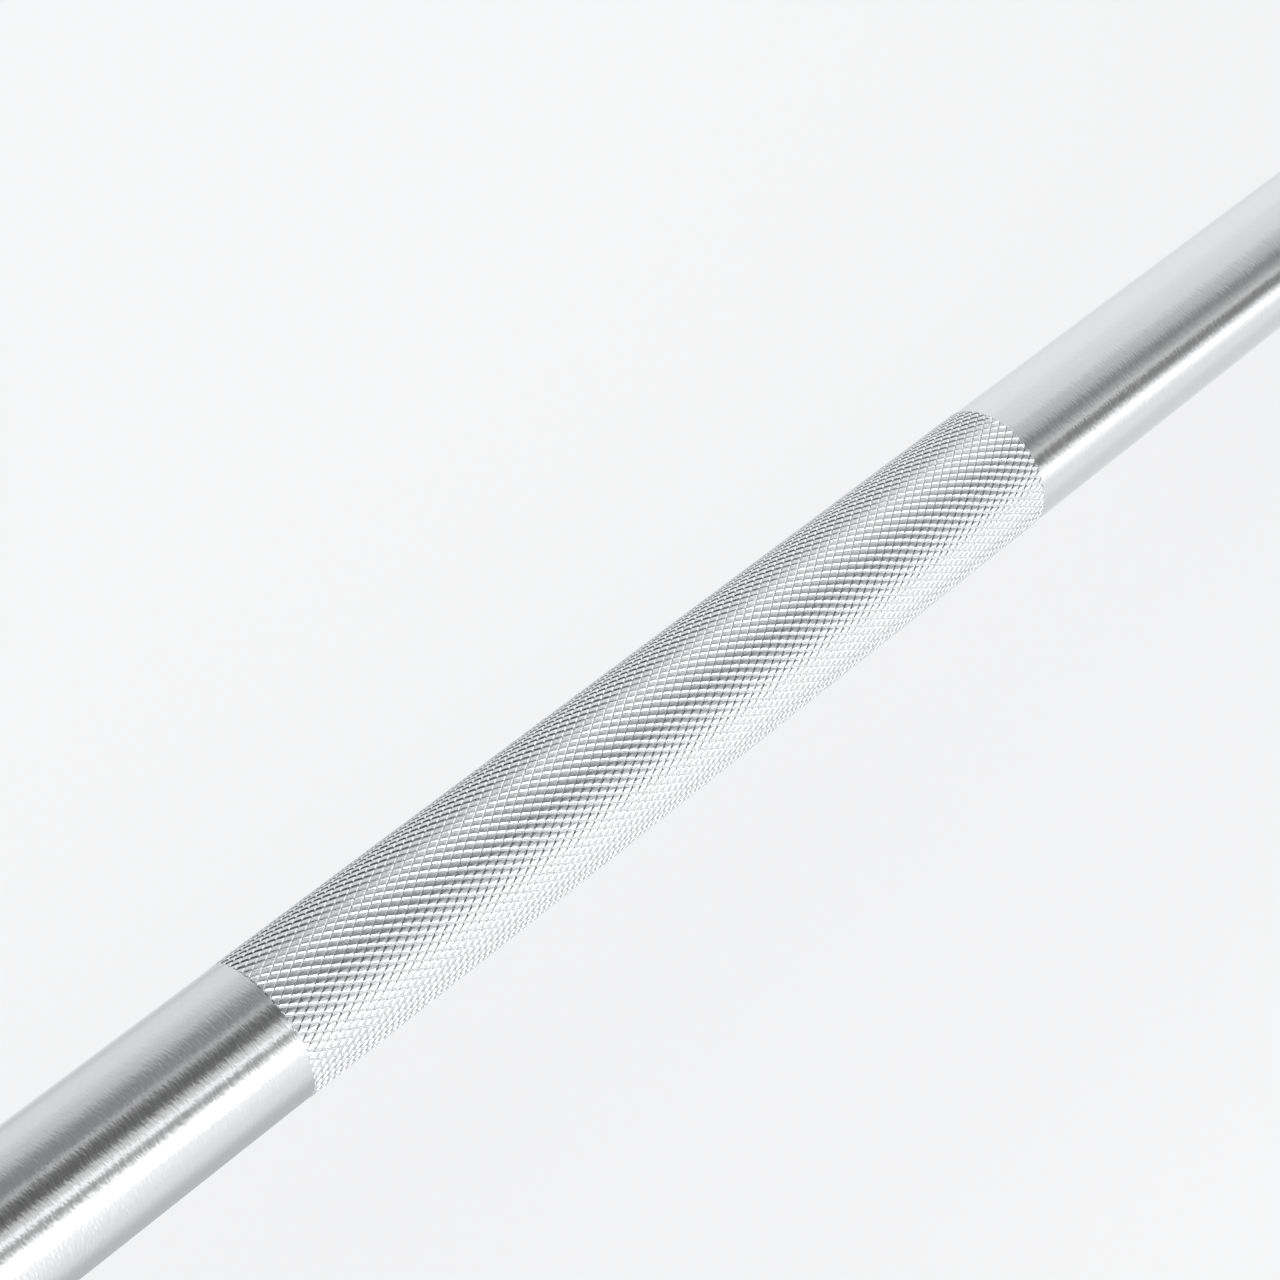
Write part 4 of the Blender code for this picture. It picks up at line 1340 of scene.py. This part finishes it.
    def ramp(self, bench: Bench, turn: Socket, strips: Strips) -> Socket:
        """Lays strips on a colour ramp, which runs from -180 to 180 degrees round their direction.

        Args:
            bench: where the world's nodes are laid out.
            turn: angle round the strips' direction, as a share of the ramp.
            strips: the strips in order, of which the first also ends the ramp.

        Returns:
            The ramp's colour.
        """
        node = bench.node("ShaderNodeValToRGB")
        node.color_ramp.interpolation = "EASE"
        bench.feed(node, Fac=turn)
        elements = node.color_ramp.elements
        stops = []
        for strip in strips:
            light = strip.colour(self.reflectance)
            for edge in sorted({strip.middle - strip.half_width, strip.middle + strip.half_width}):
                position = min(max(edge, -180.0), 180.0) / 360.0 + 0.5
                if stops and position < stops[-1][0]:
                    raise ValueError(f"{strip.what} overlaps the strip before it")
                stops.append((position, light))
        stops.append((1.0, strips[0].colour(self.reflectance)))
        while len(elements) > 1:
            elements.remove(elements[-1])
        elements[0].position, elements[0].color = stops[0]
        for position, light in stops[1:]:
            element = elements.new(position)
            element.color = light
        return node.outputs[0]

    def build_world(self) -> None:
        """The surroundings: a pale backdrop for the camera, long strips for the metal, an even dome else."""
        world = bpy.data.worlds.new("studio")
        bpy.context.scene.world = world
        bench = Bench(world)
        direction = bench.node("ShaderNodeTexCoord").outputs["Generated"]
        axis = unit(np.array(self.strip_axis))
        upward = unit(np.array([0.0, 0.0, 1.0]) - axis * axis[2])
        sideways = np.cross(upward, axis)
        legs = [bench.dot(direction, tuple(way)) for way in (sideways, upward)]
        turn = bench.maths("ARCTAN2", *legs)
        turn = bench.maths("MULTIPLY_ADD", turn, 0.5 / math.pi, 0.5)
        lean = bench.dot(direction, (1.0, 0.0, 0.0))
        mirrored = self.ramp(bench, turn, self.leftward)
        # Each set of strips takes over as the mirrored ray runs more along the shaft towards +X
        for strips, first, last in (
            (self.facing, -0.52, -0.40),
            (self.straight, -0.10, -0.01),
            (self.square_on, 0.04, 0.20),
            (self.along, 0.34, 0.62),
            (self.end_on, 0.80, 0.92),
        ):
            share = bench.remap(lean, first, last, 0.0, 1.0)
            mirrored = bench.blend(share, mirrored, self.ramp(bench, turn, strips))
        height = bench.dot(direction, (0.0, 0.0, 1.0))
        upper = bench.remap(height, self.dome_from, 1.0, 0.0, 1.0)
        even = bench.blend(upper, (*self.dome_low, 1.0), (*self.dome_high, 1.0))
        rays = bench.node("ShaderNodeLightPath")
        shown = bench.blend(rays.outputs["Is Glossy Ray"], even, mirrored)
        backdrop = (*self.floor_colour, 1.0)
        shown = bench.blend(rays.outputs["Is Camera Ray"], shown, backdrop)
        light = bench.feed(bench.node("ShaderNodeBackground"), Color=shown, Strength=1.0)
        bench.feed(bench.node("ShaderNodeOutputWorld"), Surface=light.outputs[0])

    def build_floor(self) -> Piece:
        """The plain pale floor, which the metal doesn't mirror because its surroundings hold it already."""
        reach = self.floor_reach
        corners = ((-1, -1), (1, -1), (1, 1), (-1, 1))
        points = np.array([(x * reach, y * reach, self.floor_height) for x, y in corners])
        floor = put_surface("floor", points, [np.array([[0, 1, 2, 3]])])
        material = bpy.data.materials.new("pale_floor")
        bench = Bench(material)
        colour = (*self.floor_colour, 1.0)
        lit = bench.feed(bench.node("ShaderNodeBsdfDiffuse"), Color=colour, Roughness=0.0)
        plain = bench.feed(bench.node("ShaderNodeEmission"), Color=colour, Strength=1.0)
        rays = bench.node("ShaderNodeLightPath")
        seen = bench.maths("MULTIPLY", rays.outputs["Is Camera Ray"], self.plain_share)
        both = bench.node("ShaderNodeMixShader")
        bench.feed(both, i0=seen, i1=lit.outputs[0], i2=plain.outputs[0])
        bench.feed(bench.node("ShaderNodeOutputMaterial"), Surface=both.outputs[0])
        floor.data.materials.append(material)
        floor.visible_glossy = False
        return floor

    def build_lamp(self) -> Piece:
        """A very soft light from overhead, which the metal doesn't mirror."""
        data = bpy.data.lights.new("overhead", "SUN")
        data.energy = self.lamp * math.pi
        data.angle = math.radians(self.lamp_angle)
        lamp = put_object("overhead", data)
        lamp.location = (0.0, 0.0, self.lamp_height)
        lamp.visible_glossy = False
        return lamp

    def build(self) -> None:
        """Makes the surroundings, the floor and the lamp."""
        bpy.context.scene.view_settings.view_transform = "Standard"
        self.build_world()
        self.build_floor()
        self.build_lamp()


@dataclass
class Viewpoint:
    """The photograph's camera: where it stands, which way it looks, and its lens."""

    place: Triple = (-0.277270, -0.258826, 0.402139)
    aim: Triple = (0.512339, 0.487572, -0.706953)
    focal_length: float = 81.953
    sensor_width: float = 36.0
    nearest: float = 0.01
    farthest: float = 200.0

    def build(self) -> Piece:
        """Makes the camera, level from side to side, and hands it to the scene."""
        forward = unit(np.array(self.aim))
        right = unit(np.cross(forward, (0.0, 0.0, 1.0)))
        up = np.cross(right, forward)
        data = bpy.data.cameras.new("viewpoint")
        data.lens = self.focal_length
        data.sensor_width = self.sensor_width
        data.clip_start, data.clip_end = self.nearest, self.farthest
        camera = put_object("viewpoint", data)
        turned = np.eye(4)
        turned[:3] = np.column_stack([right, up, -forward, self.place])
        camera.matrix_world = Matrix(turned.tolist())
        bpy.context.scene.camera = camera
        return camera


def main() -> None:
    """Builds the studio and the barbell in order."""
    logging.basicConfig(level=logging.INFO, format="%(name)s: %(message)s")
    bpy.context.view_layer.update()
    Studio().build()
    Viewpoint().build()
    Shaft().build()
    for side in Side:
        Head(side).build()
    LOG.info("all pieces made")


if __name__ == "__main__":
    main()
